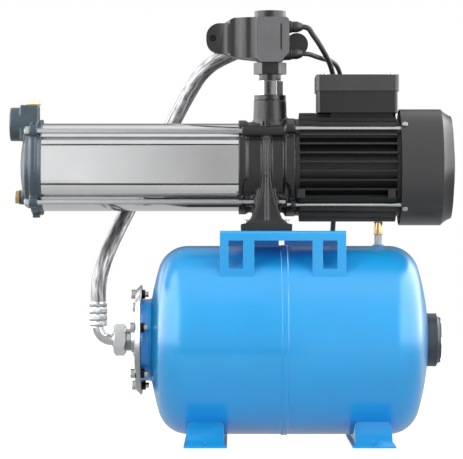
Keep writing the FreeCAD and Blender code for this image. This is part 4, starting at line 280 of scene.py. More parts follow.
def painted(material, code, tone_by, shares, gloss_by, gloss, height, strength, relief_mm, more):
    """Principled surface: its colour runs between two shares of the code's with tone_by, its roughness between two
    values with gloss_by, and its height stands relief_mm high. more are the shader's other inputs."""
    colour = linear(code)
    dark, light = ([min(c * share, 1) for c in colour[:3]] + [1] for share in shares)
    tone = add(material, "ShaderNodeMix", {"Factor": tone_by, 6: dark, 7: light}, data_type="RGBA")
    roughness = add(material, "ShaderNodeMapRange", {"Value": gloss_by, "To Min": gloss[0], "To Max": gloss[1]})
    bump = add(material, "ShaderNodeBump", {"Height": height, "Strength": strength, "Distance": relief_mm * mm})
    shader = add(material, "ShaderNodeBsdfPrincipled", {"Base Color": tone.outputs[2], "Roughness": roughness,
                                                        "Normal": bump, **more})
    add(material, "ShaderNodeOutputMaterial", {"Surface": shader})
    return material


def enamelled(name, code, roughness, peel_mm, relief_mm, coat):
    """Stove enamel: one even colour that pools a little darker, an orange peel, and a clear glossy skin."""
    material = blank_material(name)
    place = add(material, "ShaderNodeTexCoord").outputs["Object"]
    peel = add(material, "ShaderNodeTexNoise", {"Vector": place, "Scale": 1 / (peel_mm * mm), "Detail": 2.0})
    pool = add(material, "ShaderNodeTexNoise", {"Vector": place, "Scale": 1 / (60 * mm), "Detail": 1.0})
    return painted(material, code, pool, (0.94, 1.06), pool, (roughness - 0.05, roughness + 0.05), peel, 0.5, relief_mm,
                   {"IOR": 1.5, "Coat Weight": coat, "Coat Roughness": 0.2})


blue_enamel = enamelled("blue stove enamel", "1ca2e6", 0.34, 2.6, 0.05, 0.6)
lap = [(-1.5, 140), (-2.6, 141.3), (-9.6, 141.3), (-9.6, 140.1), (-3.25, 140.1), (-1, 138.5)]
right_half = np.concatenate([tank_head(4.1, 0), lap, tank_head(4.1, 1.5)[::-1]])
worn(turned_piece("tank_half_valve_side_skin", right_half, "x", tank_at, blue_enamel, 192), "tank_half_valve_side")
neck = [(222, 57.5), (222, 75.5), (219, 75.5), (219, 64), (218, 61.5), (216, 60.5), (206, 60.5)]
left_half = np.concatenate([neck, tank_head(62.5, 0), [(4, 140), (4, 138.5)], tank_head(57.5, 1.5)[::-1]]) * (-1, 1)
worn(turned_piece("tank_half_flange_side_skin", left_half, "x", tank_at, blue_enamel, 192), "tank_half_flange_side")

# the bead fills the corner of the lap, and each ripple of the pool is 2.4 mm after the last
bead_steps, bead_around = 14, 1100
bead_r, bead_high, bead_x, bead_half, ripple_mm, tank_r = 139.5, 1.5, -10.2, 1.7, 2.4, 140
bead_turn = np.arange(bead_around) * 2 * math.pi / bead_around
bead_side = np.linspace(0, math.pi, bead_steps)[:, None]
bead_ripple = 1 + 0.16 * np.cos(2 * math.pi * tank_r * bead_turn / ripple_mm - 1.4 * np.sin(bead_side))
bead_out = bead_r + bead_high * np.sin(bead_side) * bead_ripple
bead_along = bead_x - bead_half * np.cos(bead_side) + 0 * bead_turn
bead_points = np.stack([bead_along, bead_out * np.cos(bead_turn), tank_axis_z + bead_out * np.sin(bead_turn)], 2)
weld_bead = mesh_piece("tank_weld_bead", bead_points.reshape(-1, 3) * mm,
                       sheet_faces(bead_steps, bead_around, closed=True), None, blue_enamel, 60)
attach(weld_bead, "frame")

# Membrane inside the tank.
# A moulded bag of black rubber that holds the water; its lip is clamped between the neck and the counterflange.


def moulded(name, code, roughness, grain_mm, relief_mm):
    """Moulded plastic or rubber: a fine pebble grain from the tool, and a faint cloudiness of colour and gloss."""
    material = blank_material(name)
    place = add(material, "ShaderNodeTexCoord").outputs["Object"]
    pebbles = add(material, "ShaderNodeTexNoise", {"Vector": place, "Scale": 1 / (grain_mm * mm), "Detail": 3.0,
                                                   "Roughness": 0.6})
    clouds = add(material, "ShaderNodeTexNoise", {"Vector": place, "Scale": 1 / (35 * mm), "Detail": 2.0})
    return painted(material, code, clouds, (0.88, 1.14), clouds, (roughness - 0.06, roughness + 0.06), pebbles, 0.6,
                   relief_mm, {"IOR": 1.5})


def finished(material, *nodes):
    """CAD nodes that keep their own mesh and take this material."""
    for node in nodes:
        slots = frame["nodes"][node].data.materials
        slots.clear()
        slots.append(material)


bag_rubber = moulded("black butyl rubber", "1f1f20", 0.6, 1.6, 0.06)
finished(bag_rubber, "tank_membrane")

# Feet under the tank.
# Two saddles of 2.5 mm sheet steel, pressed to the tank's curve with flared lips, welded on and enamelled with it.


def softened(node, width_mm, material, segments=2):
    """Copy of a CAD node: corners welded, flat areas joined, then every crease rounded by a small bevel."""
    name, crease = node + "_skin", math.radians(32)
    shape = bmesh.new()
    shape.from_mesh(frame["nodes"][node].data)
    bmesh.ops.remove_doubles(shape, verts=shape.verts, dist=0.004 * mm)
    bmesh.ops.dissolve_limit(shape, angle_limit=math.radians(0.4), verts=shape.verts, edges=shape.edges)
    mesh = bpy.data.meshes.new(name)
    shape.to_mesh(mesh)
    shape.free()
    mesh.polygons.foreach_set("use_smooth", np.ones(len(mesh.polygons), dtype=bool))
    mesh.set_sharp_from_angle(angle=crease)
    piece = bpy.data.objects.new(name, mesh)
    bpy.context.scene.collection.objects.link(piece)
    edges = piece.modifiers.new("edges", "BEVEL")
    edges.width = width_mm * mm
    edges.segments = segments
    edges.limit_method = "ANGLE"
    edges.angle_limit = crease
    edges.use_clamp_overlap = True
    edges.harden_normals = True
    mesh.materials.clear()
    mesh.materials.append(material)
    return worn(piece, node)


def partly(piece, material, where):
    """The faces whose centres (x, y, z in mm) fulfil where take a second material."""
    mesh = piece.data
    mesh.materials.append(material)
    centres = np.empty(len(mesh.polygons) * 3)
    mesh.polygons.foreach_get("center", centres)
    chosen = where(*(centres.reshape(-1, 3).T / mm))
    index = np.empty(len(mesh.polygons), dtype=np.int32)
    mesh.polygons.foreach_get("material_index", index)
    mesh.polygons.foreach_set("material_index", np.where(chosen, len(mesh.materials) - 1, index).astype(np.int32))


softened("tank_foot_left", 1.0, blue_enamel)
softened("tank_foot_right", 1.0, blue_enamel)

# Counterflange on the neck.
# Pressed steel 3.5 mm thick with a curled rim and a spigot with a pipe thread, 11 turns to the inch. Its zinc plate
# is bright, with a soft mottle where the bath's grain shows.


def plated(name, code, roughness, mottle_mm, relief_mm, spread=0.09, stretch=(1, 1, 1)):
    """Bare or plated metal: gloss and tone wander with the mottle, which is stretched where it was turned or drawn."""
    material = blank_material(name)
    place = add(material, "ShaderNodeMapping", {"Vector": add(material, "ShaderNodeTexCoord").outputs["Object"],
                                                "Scale": stretch})
    mottle = add(material, "ShaderNodeTexNoise", {"Vector": place, "Scale": 1 / (mottle_mm * mm), "Detail": 4.0})
    return painted(material, code, mottle, (0.82, 1.12), mottle, (max(roughness - spread, 0.03), roughness + spread),
                   mottle, 0.5, relief_mm, {"Metallic": 1.0})


def rounded_outline(corners):
    """Outline (along, out) through corners (along, out, r): each corner gives way to an arc that touches both its
    runs at r / tan(half its angle) from it, about a centre r / sin(half its angle) away on the bisector."""
    spots = np.array([c[:2] for c in corners], dtype=float)
    outline = []
    for before, spot, after, corner in zip(np.roll(spots, 1, 0), spots, np.roll(spots, -1, 0), corners):
        radius = corner[2] if len(corner) > 2 else 0
        back, ahead = before - spot, after - spot
        back, ahead = back / np.linalg.norm(back), ahead / np.linalg.norm(ahead)
        half = math.acos(np.clip(back @ ahead, -1, 1)) / 2
        if radius == 0 or half > 1.55:
            outline.append(spot[None])
            continue
        middle = (back + ahead) / np.linalg.norm(back + ahead)
        sweep = math.pi / 2 - half
        turn = np.linspace(-sweep, sweep, 7)[:, None]
        sideways = (ahead - back) / np.linalg.norm(ahead - back)
        centre = spot + middle * radius / math.sin(half)
        outline.append(centre + radius * (-middle * np.cos(turn) + sideways * np.sin(turn)))
    return np.concatenate(outline)


bright_zinc = plated("bright zinc plate on steel", "c0c4c4", 0.24, 3.5, 0.02)
counterflange = rounded_outline([
    (-225, 12), (-225, 73, 2), (-217, 80.25, 0.8), (-218.75, 82, 0.8), (-226.5, 74.5, 4), (-228.3, 40, 3),
    (-228.5, 22, 1.5), (-229.5, 19.5, 0.5), (-233.5, 18.5, 0.8), (-233.5, 15.2), (-247.5, 15.2, 0.5),
    (-247.5, 12, 0.5)])
flange_zinc = plated("bright zinc plate on pressed sheet", "acb0b2", 0.28, 3.0, 0.015, spread=0.05)
worn(turned_piece("tank_counterflange_skin", counterflange, "x", tank_at, flange_zinc, 160), "tank_counterflange")

thread_pitch, thread_deep, thread_r, thread_core = 25.4 / 11, 1.45, 16.6, 14.6
thread_tip, thread_end = -246.6, -233.9
thread_along = np.arange(thread_tip, thread_end, 0.22)
thread_outline = np.concatenate([np.column_stack([thread_along, np.full(len(thread_along), thread_r)]),
                                 [(thread_end, thread_core), (thread_tip, thread_core)]])


def thread_cut(along, out, t):
    """A V thread: the depth follows the distance from the nearest crest, which winds once round per pitch."""
    wave = 2 * np.abs((along / thread_pitch - t / (2 * math.pi)) % 1 - 0.5)
    fade = np.clip((along - thread_tip) / 1.6, 0, 1)
    return np.where(out > 15, -thread_deep * (1 - np.clip(wave * 1.15, 0, 1) * fade), 0)


spigot_thread = turned_piece("spigot_thread", thread_outline, "x", tank_at, bright_zinc, 72, thread_cut, 50)
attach(spigot_thread, "frame")

# Hexagon bolts and nuts, M8.
# Cold-forged steel. The bolts and the tie rods' nuts are bright zinc plated; the six nuts behind the neck's ring and
# the four on the pump's foot are black from the oil bath.
softened("hex_bolts", 0.45, bright_zinc, segments=3)
nuts = softened("hex_nuts", 0.45, bright_zinc, segments=3)
black_oxide_and_hole_shade = plated("black oxide on steel, and painted shade in holes", "2b2c2e", 0.42, 2.5, 0.03)
nuts_black_under = 300
partly(nuts, black_oxide_and_hole_shade, lambda x, y, z: z < nuts_black_under)

# Charging valve and its cap.
# A turned brass valve like a tyre's in the middle of the right head, under a moulded black cap with a scalloped face.
turned_brass = plated("turned brass", "c0a87c", 0.26, 2.0, 0.015, spread=0.06)
softened("air_valve_stem", 0.3, turned_brass)
finished(turned_brass, "air_valve_pin")
cap_plastic = moulded("black polypropylene", "3c4249", 0.38, 1.2, 0.03)
softened("air_valve_cap", 0.7, cap_plastic, segments=3)

# Pump bracket on the tank.
# One folded piece of 3 mm sheet steel with windows through its skirts, welded to the tank and enamelled with it.
bracket = softened("pump_bracket", 0.9, blue_enamel, segments=3)
# the polished barrel in the photograph shows no blue, so tank and bracket are kept out of mirrors
for blue_piece in (bracket, bpy.data.objects["tank_half_valve_side_skin"],
                   bpy.data.objects["tank_half_flange_side_skin"]):
    blue_piece.visible_glossy = False

# Suction casing.
# Grey iron cast in sand and painted blue-grey: soft corners, a pebbled skin, and a turned face round the port.


def sand_cast(name, code, roughness, grit_mm, relief_mm):
    """Painted sand casting: coarse pits and fine grit under the paint, which is thin and paler on raised grains."""
    material = blank_material(name)
    place = add(material, "ShaderNodeTexCoord").outputs["Object"]
    grit = add(material, "ShaderNodeTexNoise", {"Vector": place, "Scale": 1 / (grit_mm * mm), "Detail": 5.0,
                                                "Roughness": 0.65})
    pits = add(material, "ShaderNodeTexVoronoi", {"Vector": place, "Scale": 1 / (2.6 * grit_mm * mm)})
    height = add(material, "ShaderNodeMath", {0: pits.outputs["Distance"], 1: 0.6, 2: grit.outputs[0]},
                 operation="MULTIPLY_ADD")
    return painted(material, code, grit, (0.62, 1.40), grit, (roughness - 0.1, roughness + 0.12), height, 0.8,
                   relief_mm, {"IOR": 1.5})


def cast_piece(node, grain_mm, rounds, material, extras=()):
    """Copy of a CAD node as a casting: welded, with the extra closed pieces melted in, remeshed on a grid of
    grain_mm, then smoothed so that edges go soft."""
    shape = bmesh.new()
    shape.from_mesh(frame["nodes"][node].data)
    bmesh.ops.remove_doubles(shape, verts=shape.verts, dist=0.004 * mm)
    for extra in extras:
        shape.from_mesh(extra.data)
        bpy.data.objects.remove(extra)
    mesh = bpy.data.meshes.new(node + "_skin")
    shape.to_mesh(mesh)
    shape.free()
    mesh.materials.clear()
    mesh.materials.append(material)
    piece = bpy.data.objects.new(node + "_skin", mesh)
    bpy.context.scene.collection.objects.link(piece)
    grid = piece.modifiers.new("grain", "REMESH")
    grid.mode = "VOXEL"
    grid.voxel_size = grain_mm * mm
    grid.use_smooth_shade = True
    soften = piece.modifiers.new("soft corners", "SMOOTH")
    soften.factor = 0.5
    soften.iterations = rounds
    return worn(piece, node)


blue_grey_iron = sand_cast("blue-grey paint on cast iron", "3c4c56", 0.30, 1.1, 0.12)
cast_piece("suction_casing", 1.3, 5, blue_grey_iron)

# Priming and drain plugs.
# Turned brass plugs with hexagon heads, each on a flat red-brown fibre washer, unscrewed to fill or empty the pump.
softened("prime_plug", 0.5, turned_brass, segments=3)
softened("drain_plug", 0.5, turned_brass, segments=3)
fibre = moulded("vulcanised fibre", "7a4a35", 0.7, 0.8, 0.03)
finished(fibre, "plug_washers")

# Pump shell.
# A tube rolled from 2 mm stainless sheet and polished to a mirror. The polishing wheel ran round it, so its faint
# scratches, 0.3 mm apart, do too; they are drawn 1 mm apart because finer ones don't show.
mirror_stainless = blank_material("mirror-polished stainless steel")
shell_place = add(mirror_stainless, "ShaderNodeTexCoord").outputs["Object"]
scratches = add(mirror_stainless, "ShaderNodeTexNoise", {"Vector": add(mirror_stainless, "ShaderNodeMapping", {
    "Vector": shell_place, "Scale": (1000, 12, 12)}), "Scale": 1.0, "Detail": 3.0})
handling = add(mirror_stainless, "ShaderNodeTexNoise", {"Vector": shell_place, "Scale": 1 / (45 * mm), "Detail": 3.0})
shell_tone = add(mirror_stainless, "ShaderNodeMix", {"Factor": handling, 6: linear("d4d5d6"), 7: linear("e2e2e3")},
                 data_type="RGBA")
shell_gloss = add(mirror_stainless, "ShaderNodeMapRange", {"Value": handling, "To Min": 0.05, "To Max": 0.11})
shell_bump = add(mirror_stainless, "ShaderNodeBump", {"Height": scratches, "Strength": 0.25, "Distance": 0.006 * mm})
add(mirror_stainless, "ShaderNodeOutputMaterial", {"Surface": add(mirror_stainless, "ShaderNodeBsdfPrincipled", {
    "Base Color": shell_tone.outputs[2], "Metallic": 1.0, "Roughness": shell_gloss, "Normal": shell_bump})})
pump_at = (0, 409)
shell_left, shell_right = -370, -69
shell_outline = rounded_outline([(shell_left, 63.2), (shell_left, 65.2, 0.6), (shell_right, 65.2, 0.6),
                                 (shell_right, 63.2)])
worn(turned_piece("pump_shell_skin", shell_outline, "x", pump_at, mirror_stainless, 256), "pump_shell")



def square_ring(name, middle, half, inside, outside, material, around):
    """Ring about the pump's axis whose section is the rectangle middle +- half by inside to outside (mm)."""
    section = [(middle - half, inside), (middle - half, outside), (middle + half, outside), (middle + half, inside)]
    return turned_piece(name, np.array(section), "x", pump_at, material, around)


# a black rubber seal ring where shell and casing flange meet; its black is also painted shade for the gap there
shell_seal_and_gap_shade = square_ring("shell_seal_and_gap_shade", -369.4, 1.0, 65.3, 67.2, bag_rubber, 128)
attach(shell_seal_and_gap_shade, "frame")

# Stages and shaft inside the shell.
# Seven pressed stainless bowls and diffusers, impellers moulded in pale glass-filled nylon with turned spacers
# between them, on a ground steel shaft; the seal runs a ceramic ring against a carbon seat, drawn in the same ceramic.
satin_stainless = plated("satin stainless steel", "b4b6b8", 0.3, 1.2, 0.01, stretch=(0.2, 1, 1))
ground_steel = plated("ground bearing steel", "b9bbbd", 0.16, 1.0, 0.006, spread=0.05, stretch=(1, 0.15, 0.15))
pale_nylon = moulded("pale moulded nylon", "d9d8d2", 0.45, 1.0, 0.03)
seal_ceramic = moulded("ground alumina ceramic", "dcdad2", 0.25, 0.6, 0.01)
finished(satin_stainless, "stage_bowls", "stage_diffusers", "impeller_spacers")
finished(pale_nylon, "impellers")
finished(ground_steel, "rotor_shaft", "motor_bearings")
finished(seal_ceramic, "shaft_seal_ring", "shaft_seal_seat")

# Tie rods.
# Four drawn bright steel rods with threaded ends, from the suction casing to the discharge casing.
softened("tie_rods", 0.4, plated("drawn bright steel", "c6c8ca", 0.16, 1.5, 0.008, stretch=(0.1, 1, 1)))

# Discharge casing, motor lantern and pump foot.
# One sand casting in grey iron, painted black, with the outlet boss on top and the drilled foot under it. A ribbed
# band runs round the drum and down both sides as a web that widens towards the foot.
black_iron = sand_cast("black paint on cast iron", "1c1c1d", 0.33, 1.5, 0.22)


def cast_plate(outline, front, back):
    """Closed plate with an outline of (x, z) that runs round once, between two values of y."""
    corners = np.array(outline, dtype=float)
    count = len(corners)
    sides = [np.column_stack([corners[:, 0], np.full(count, y), corners[:, 1]]) for y in (front, back)]
    shape = bmesh.new()
    spots = [[shape.verts.new(p * mm) for p in side] for side in sides]
    shape.faces.new(spots[0])
    shape.faces.new(spots[1][::-1])
    for i in range(count):
        shape.faces.new([spots[0][i], spots[1][i], spots[1][(i + 1) % count], spots[0][(i + 1) % count]])
    bmesh.ops.recalc_face_normals(shape, faces=shape.faces)
    mesh = bpy.data.meshes.new("plate")
    shape.to_mesh(mesh)
    shape.free()
    plate = bpy.data.objects.new("plate", mesh)
    bpy.context.scene.collection.objects.link(plate)
    return plate


# what the foundry adds round the drum: a plain ring, a band on it with a rib and two raised edges, and down from the
# band, in front and behind, a web that widens in a hollow curve towards the foot, with raised edges and a rib
mid_x, drum_inside, rib_half = -33.05, 61, 1.3
drum_rings = ((-37, 29, 67.3), (mid_x, 6, 70.0), (mid_x, rib_half, 72.8), (mid_x - 5.4, 1.0, 71.8),
              (mid_x + 5.4, 1.0, 71.8))
cast_extras = [square_ring("ring", at, half, drum_inside, out, black_iron, 160) for at, half, out in drum_rings]
web_top, web_foot, web_face, web_root, edge_wide = 400, 327, 70.5, 56, 2.2
web_height = np.linspace(web_top, web_foot, 16)
web_half = 6.2 + 19 * ((web_top - web_height) / (web_top - web_foot)) ** 1.7


def web_strip(from_x, to_x):
    """Outline (x, z) of the part of the web between two runs of x."""
    return np.concatenate([np.column_stack([from_x, web_height]), np.column_stack([to_x, web_height])[::-1]])


for front, back in ((-web_face, -web_root), (web_face, web_root)):
    cast_extras.append(cast_plate(web_strip(mid_x - web_half, mid_x + web_half), front, back))
    for side in (-1, 1):
        edge_outline = web_strip(mid_x + side * web_half, mid_x + side * (web_half - edge_wide))
        cast_extras.append(cast_plate(edge_outline, front * 1.018, back))
    rib_outline = [(mid_x - rib_half, 409), (mid_x + rib_half, 409), (mid_x + rib_half, 326), (mid_x - rib_half, 326)]
    cast_extras.append(cast_plate(rib_outline, front * 1.033, back))
cast_piece("motor_lantern", 1.5, 2, black_iron, cast_extras)

# Motor.
# Die-cast aluminium frame with cooling fins, sprayed satin black, between two end shields held by long stay rods.
# Inside are the varnished stack of laminations, the copper windings, and the rotor on ball bearings.


def sprayed(name, code, roughness, speck_mm, relief_mm, specular=0.5):
    """Satin spray paint on metal: a fine dry speckle and edges of gloss that wander a little."""
    material = blank_material(name)
    place = add(material, "ShaderNodeTexCoord").outputs["Object"]
    specks = add(material, "ShaderNodeTexNoise", {"Vector": place, "Scale": 1 / (speck_mm * mm), "Detail": 3.0})
    clouds = add(material, "ShaderNodeTexNoise", {"Vector": place, "Scale": 1 / (28 * mm), "Detail": 2.0})
    return painted(material, code, specks, (0.75, 1.3), clouds, (roughness - 0.07, roughness + 0.07), specks, 0.6,
                   relief_mm, {"IOR": 1.5, "Specular IOR Level": specular})


motor_black = sprayed("satin black paint on die-cast aluminium", "1f1f20", 0.40, 0.9, 0.04, specular=0.4)
for motor_node, edge_mm in (("motor_frame", 0.5), ("rear_shield", 0.7), ("front_shield", 0.7)):
    softened(motor_node, edge_mm, motor_black)
softened("motor_stay_rods", 0.5, bright_zinc, segments=3)


def banded(name, band_mm, distortion, detail, codes, strength, relief_mm, more):
    """Varnished metal in thin bands across x: tone and height run from band to band. more are further inputs."""
    material = blank_material(name)
    bands = add(material, "ShaderNodeTexWave", {
        "Vector": add(material, "ShaderNodeTexCoord").outputs["Object"], "Scale": 0.5 / (band_mm * mm) / 3.2,
        "Distortion": distortion, "Detail": detail}, bands_direction="X")
    tone = add(material, "ShaderNodeMix", {"Factor": bands, 6: linear(codes[0]), 7: linear(codes[1])},
               data_type="RGBA")
    bump = add(material, "ShaderNodeBump", {"Height": bands, "Strength": strength, "Distance": relief_mm * mm})
    add(material, "ShaderNodeOutputMaterial", {"Surface": add(material, "ShaderNodeBsdfPrincipled", {
        "Base Color": tone.outputs[2], "Normal": bump, **more})})
    return material


# sheets 0.5 mm thick, drawn 1 mm thick because thinner ones don't show, and wire 0.8 mm thick
finished(banded("varnished lamination stack", 1.0, 0.4, 1.0, ("3c3d40", "6a6c70"), 0.4, 0.05,
                {"Metallic": 0.9, "Roughness": 0.42}), "stator_core", "rotor_core")
finished(banded("varnished copper wire", 0.8, 2.0, 2.0, ("6e3418", "c9774a"), 0.7, 0.2,
                {"Metallic": 0.8, "Roughness": 0.3, "Coat Weight": 0.6}), "stator_windings")

# Fan and its cover.
# A moulded black fan on the shaft's tail, under a cover deep-drawn from 1.6 mm steel sheet with cooling slots, sprayed
# satin black and held by small screws.
finished(moulded("black glass-filled nylon", "1c1c1d", 0.5, 1.0, 0.04), "cooling_fan")
cover_paint = sprayed("satin black paint on pressed steel", "2a2a2b", 0.32, 1.4, 0.03, specular=0.6)
softened("fan_cover", 0.5, cover_paint)
softened("case_screws", 0.3, bright_zinc)

# Terminal box.
# A glossy black moulded box on the motor's flat top with a screwed lid; inside are the start capacitor, the terminal
# strip, and the gland that the pump lead comes through.
softened("terminal_box", 1.0, moulded("black moulded plastic", "121213", 0.30, 2.2, 0.03), segments=3)
softened("terminal_box_lid", 1.3, moulded("glossy grey-black moulded plastic", "383839", 0.27, 2.2, 0.03), segments=3)
finished(moulded("white capacitor can", "d8d8d4", 0.35, 1.0, 0.01), "start_capacitor")
finished(moulded("beige terminal strip", "c8bfa8", 0.45, 1.0, 0.02), "terminal_strip")

# Support pillar under the motor.
# A turned brass pillar steadies the motor. Its pale nylon foot stands on the tank's crown, with a flange that the
# tank's enamel covers.
softened("support_pillar", 0.3, turned_brass, segments=3)
enamel_top = 298
partly(softened("pillar_foot", 0.4, pale_nylon, segments=3), blue_enamel, lambda x, y, z: z < enamel_top)

# Outlet nipple and its seals.
# A chromed steel nipple with a hexagon between two moulded black seal rings; the controller's collar screws onto it.
bright_chrome = plated("bright chrome plate", "cccecf", 0.08, 6.0, 0.004, spread=0.03)
outlet_x = -27


def turn_mesh(piece, degrees, axis, centre):
    """Turns the piece's mesh, not its object, about an axis through centre (mm)."""
    there = Matrix.Translation([c * mm for c in centre])
    piece.data.transform(there @ Matrix.Rotation(math.radians(degrees), 4, axis) @ there.inverted())


# screwed home with one flat of the hexagon to the front
turn_mesh(softened("discharge_nipple", 0.6, bright_chrome, segments=3), 30, "Z", (outlet_x, 0, 0))
seal_rubber = moulded("glossy black nitrile rubber", "161617", 0.25, 1.5, 0.02)
softened("nipple_seals", 0.9, seal_rubber, segments=3)

# Pressure controller.
# Body and rear cover moulded in dark grey glass-filled nylon with a fine spark-eroded grain, closed over a sprung
# flow valve; a red button at the back resets it, and ribbed black glands hold its two leads.
controller_nylon = moulded("grey glass-filled nylon", "242425", 0.30, 0.9, 0.04)
controller = softened("controller_body", 2.5, controller_nylon, segments=4)
# the flat front is a paler panel; painted shade darkens the slit at its right edge and the ear's screw hole
panel_y, hole_x, hole_z, hole_shade_r = -43.8, -112, 600.5, 5.4
partly(controller, moulded("satin grey front panel", "646466", 0.4, 0.9, 0.03), lambda x, y, z: y < panel_y)
# painted shade: the faces inside the ear's screw hole are coloured black
partly(controller, black_oxide_and_hole_shade,
       lambda x, y, z: (np.hypot(x - hole_x, z - hole_z) < hole_shade_r) & (y > -11.9) & (y < -5))
# painted shade: a black strip, wider than the slit, stands for the shade inside it
slit = cast_plate([(-12.4, 583), (-9.9, 583), (-9.9, 620), (-12.4, 620)], -44.25, -42)
slit.name = "panel_slit_shade"
slit.data.materials.append(moulded("black painted shade in the slit", "0b0b0c", 0.6, 1.0, 0.02))
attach(slit, "frame")
softened("controller_cover", 1.0, controller_nylon, segments=3)
softened("cable_glands", 0.6, moulded("black gland nylon", "1e1e1f", 0.38, 1.0, 0.03), segments=3)
softened("reset_button", 0.7, moulded("glossy red plastic", "a11d18", 0.25, 1.2, 0.01), segments=3)
finished(turned_brass, "flow_valve")


def coil_spring(low, high, out, wire, turns):
    """Round wire on a helix about the outlet's axis: its middle is at out (cos, sin)(2 pi turns u) and at z = low +
    wire + u (high - low - 2 wire), and the circle about it closes to a point at both ends (mm)."""
    steps = turns * 28
    u = np.linspace(0, 1, steps + 1)[:, None]
    side = np.linspace(0, 2 * np.pi, 11)[None, :]
    thick = wire * np.minimum(1, np.minimum(u, 1 - u) * steps)
    swing = out + thick * np.cos(side)
    turn = 2 * np.pi * turns * u
    points = np.stack([swing * np.cos(turn) + outlet_x, swing * np.sin(turn),
                       low + wire + u * (high - low - 2 * wire) + thick * np.sin(side)], axis=-1)
    return points.reshape(-1, 3) * mm, sheet_faces(*points.shape[:2])


# as the valve opens, the spring is squeezed against the roof of its passage
spring_low, spring_roof = (corner[2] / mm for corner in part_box("flow_valve_spring"))
spring_points, spring_faces = coil_spring(spring_low, spring_roof, 7, 1, 5)
spring = worn(mesh_piece("flow_valve_spring_skin", spring_points, spring_faces, material=satin_stainless, weld=True),
              "flow_valve_spring")
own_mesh(spring)

# Hose elbows, union nut and crimped ferrules.
# Bent brass tubes, nickel-chromed, with a loose hexagon union nut; each ferrule is a stainless sleeve pressed onto
# the hose, so that it shows rings where the jaws closed and a fine straight knurl between them.
softened("hose_elbow_tank", 0.4, bright_chrome, segments=3)
softened("hose_elbow_controller", 0.4, bright_chrome, segments=3)
satin_nickel = plated("satin nickel plate", "dcddde", 0.2, 4.0, 0.006, spread=0.04)
turn_mesh(softened("union_nut", 0.7, satin_nickel, segments=3), 30, "X", (0, 0, tank_axis_z))


def crimped(along, out, t):
    """A pressed sleeve: three shallow rings of the jaws, exp(-((along - at) / wide) ** 2) each, and between them a
    knurl of straight ribs, (1 + cos(ribs t)) / 2."""
    jaws_at, jaw_wide, jaw_deep, ribs, rib_deep = (8, 18.5, 29), 1.6, 0.9, 44, 0.45
    rings = sum(np.exp(-((along - at) / jaw_wide) ** 2) for at in jaws_at)
    ribbed = np.clip(np.minimum(along - 3, 34 - along), 0, 1) * (1 - rings) * (0.5 + 0.5 * np.cos(ribs * t))
    return np.where(out > 12, -jaw_deep * rings - rib_deep * ribbed, 0)


ferrule_outline = np.vstack([[(37, 7.1), (1, 7.1), (1, 11.7), (3, 13.2)],
                             np.column_stack([np.arange(3.5, 34, 0.5), np.full(61, 13.2)]), [(34, 13.2), (37, 12.2)]])
# the lower one stands on the tank's elbow; the upper one lies on the controller's, which leans down by 20 degrees
lower_ferrule = turned_piece("hose_ferrule_low", ferrule_outline, "z", (0, 0), satin_stainless, 264, crimped, 50)
lower_ferrule.data.transform(Matrix.Translation((-283 * mm, 0, 172 * mm)))
upper_ferrule = turned_piece("hose_ferrule_high", ferrule_outline, "z", (0, 0), satin_stainless, 264, crimped, 50)
upper_ferrule.data.transform(Matrix.Translation((-16 * mm, 0, 608 * mm)) @ Matrix.Rotation(math.radians(-20), 4, "Y")
                             @ Matrix.Translation((-17 * mm, 70 * mm, 0)) @ Matrix.Rotation(math.radians(-90), 4, "Y"))
worn(lower_ferrule, "hose_ferrules")
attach(upper_ferrule, "frame")

# Braided hose from the tank to the pressure controller.
# A rubber hose under a tight braid of stainless wires, 23 mm across. Flat bundles of wires cross over and under
# each other round it; each is 3 mm wide, drawn as one band because single wires are too fine to show.
hose_radius = 11.5 * mm


def laid_line(name, points, radius=0.0):
    """Open quadratic NURBS curve through the route's control points, as a round cord of that radius."""
    curve = bpy.data.curves.new(name, "CURVE")
    curve.dimensions = "3D"
    spline = curve.splines.new("NURBS")
    spline.points.add(len(points) - 1)
    spline.points.foreach_set("co", np.column_stack([np.array(points) * mm, np.ones(len(points))]).ravel())
    spline.order_u = 3
    spline.use_endpoint_u = True
    spline.resolution_u = 10
    curve.bevel_depth = radius
    curve.bevel_resolution = 5
    curve.use_fill_caps = True
    line = bpy.data.objects.new(name, curve)
    bpy.context.scene.collection.objects.link(line)
    return line


def points_along(line):
    """Points of a curve that has no bevel, as an array."""
    bpy.context.view_layer.update()
    traced = bpy.data.meshes.new_from_object(line.evaluated_get(bpy.context.evaluated_depsgraph_get()))
    path = np.empty(len(traced.vertices) * 3)
    traced.vertices.foreach_get("co", path)
    bpy.data.meshes.remove(traced)
    return path.reshape(-1, 3)


def even_path(path, step):
    """The same path with its points the same distance apart."""
    run = np.concatenate([[0], np.cumsum(np.linalg.norm(np.diff(path, axis=0), axis=1))])
    even = np.linspace(0, run[-1], int(run[-1] / step) + 1)
    return np.column_stack([np.interp(even, run, path[:, k]) for k in range(3)]), even


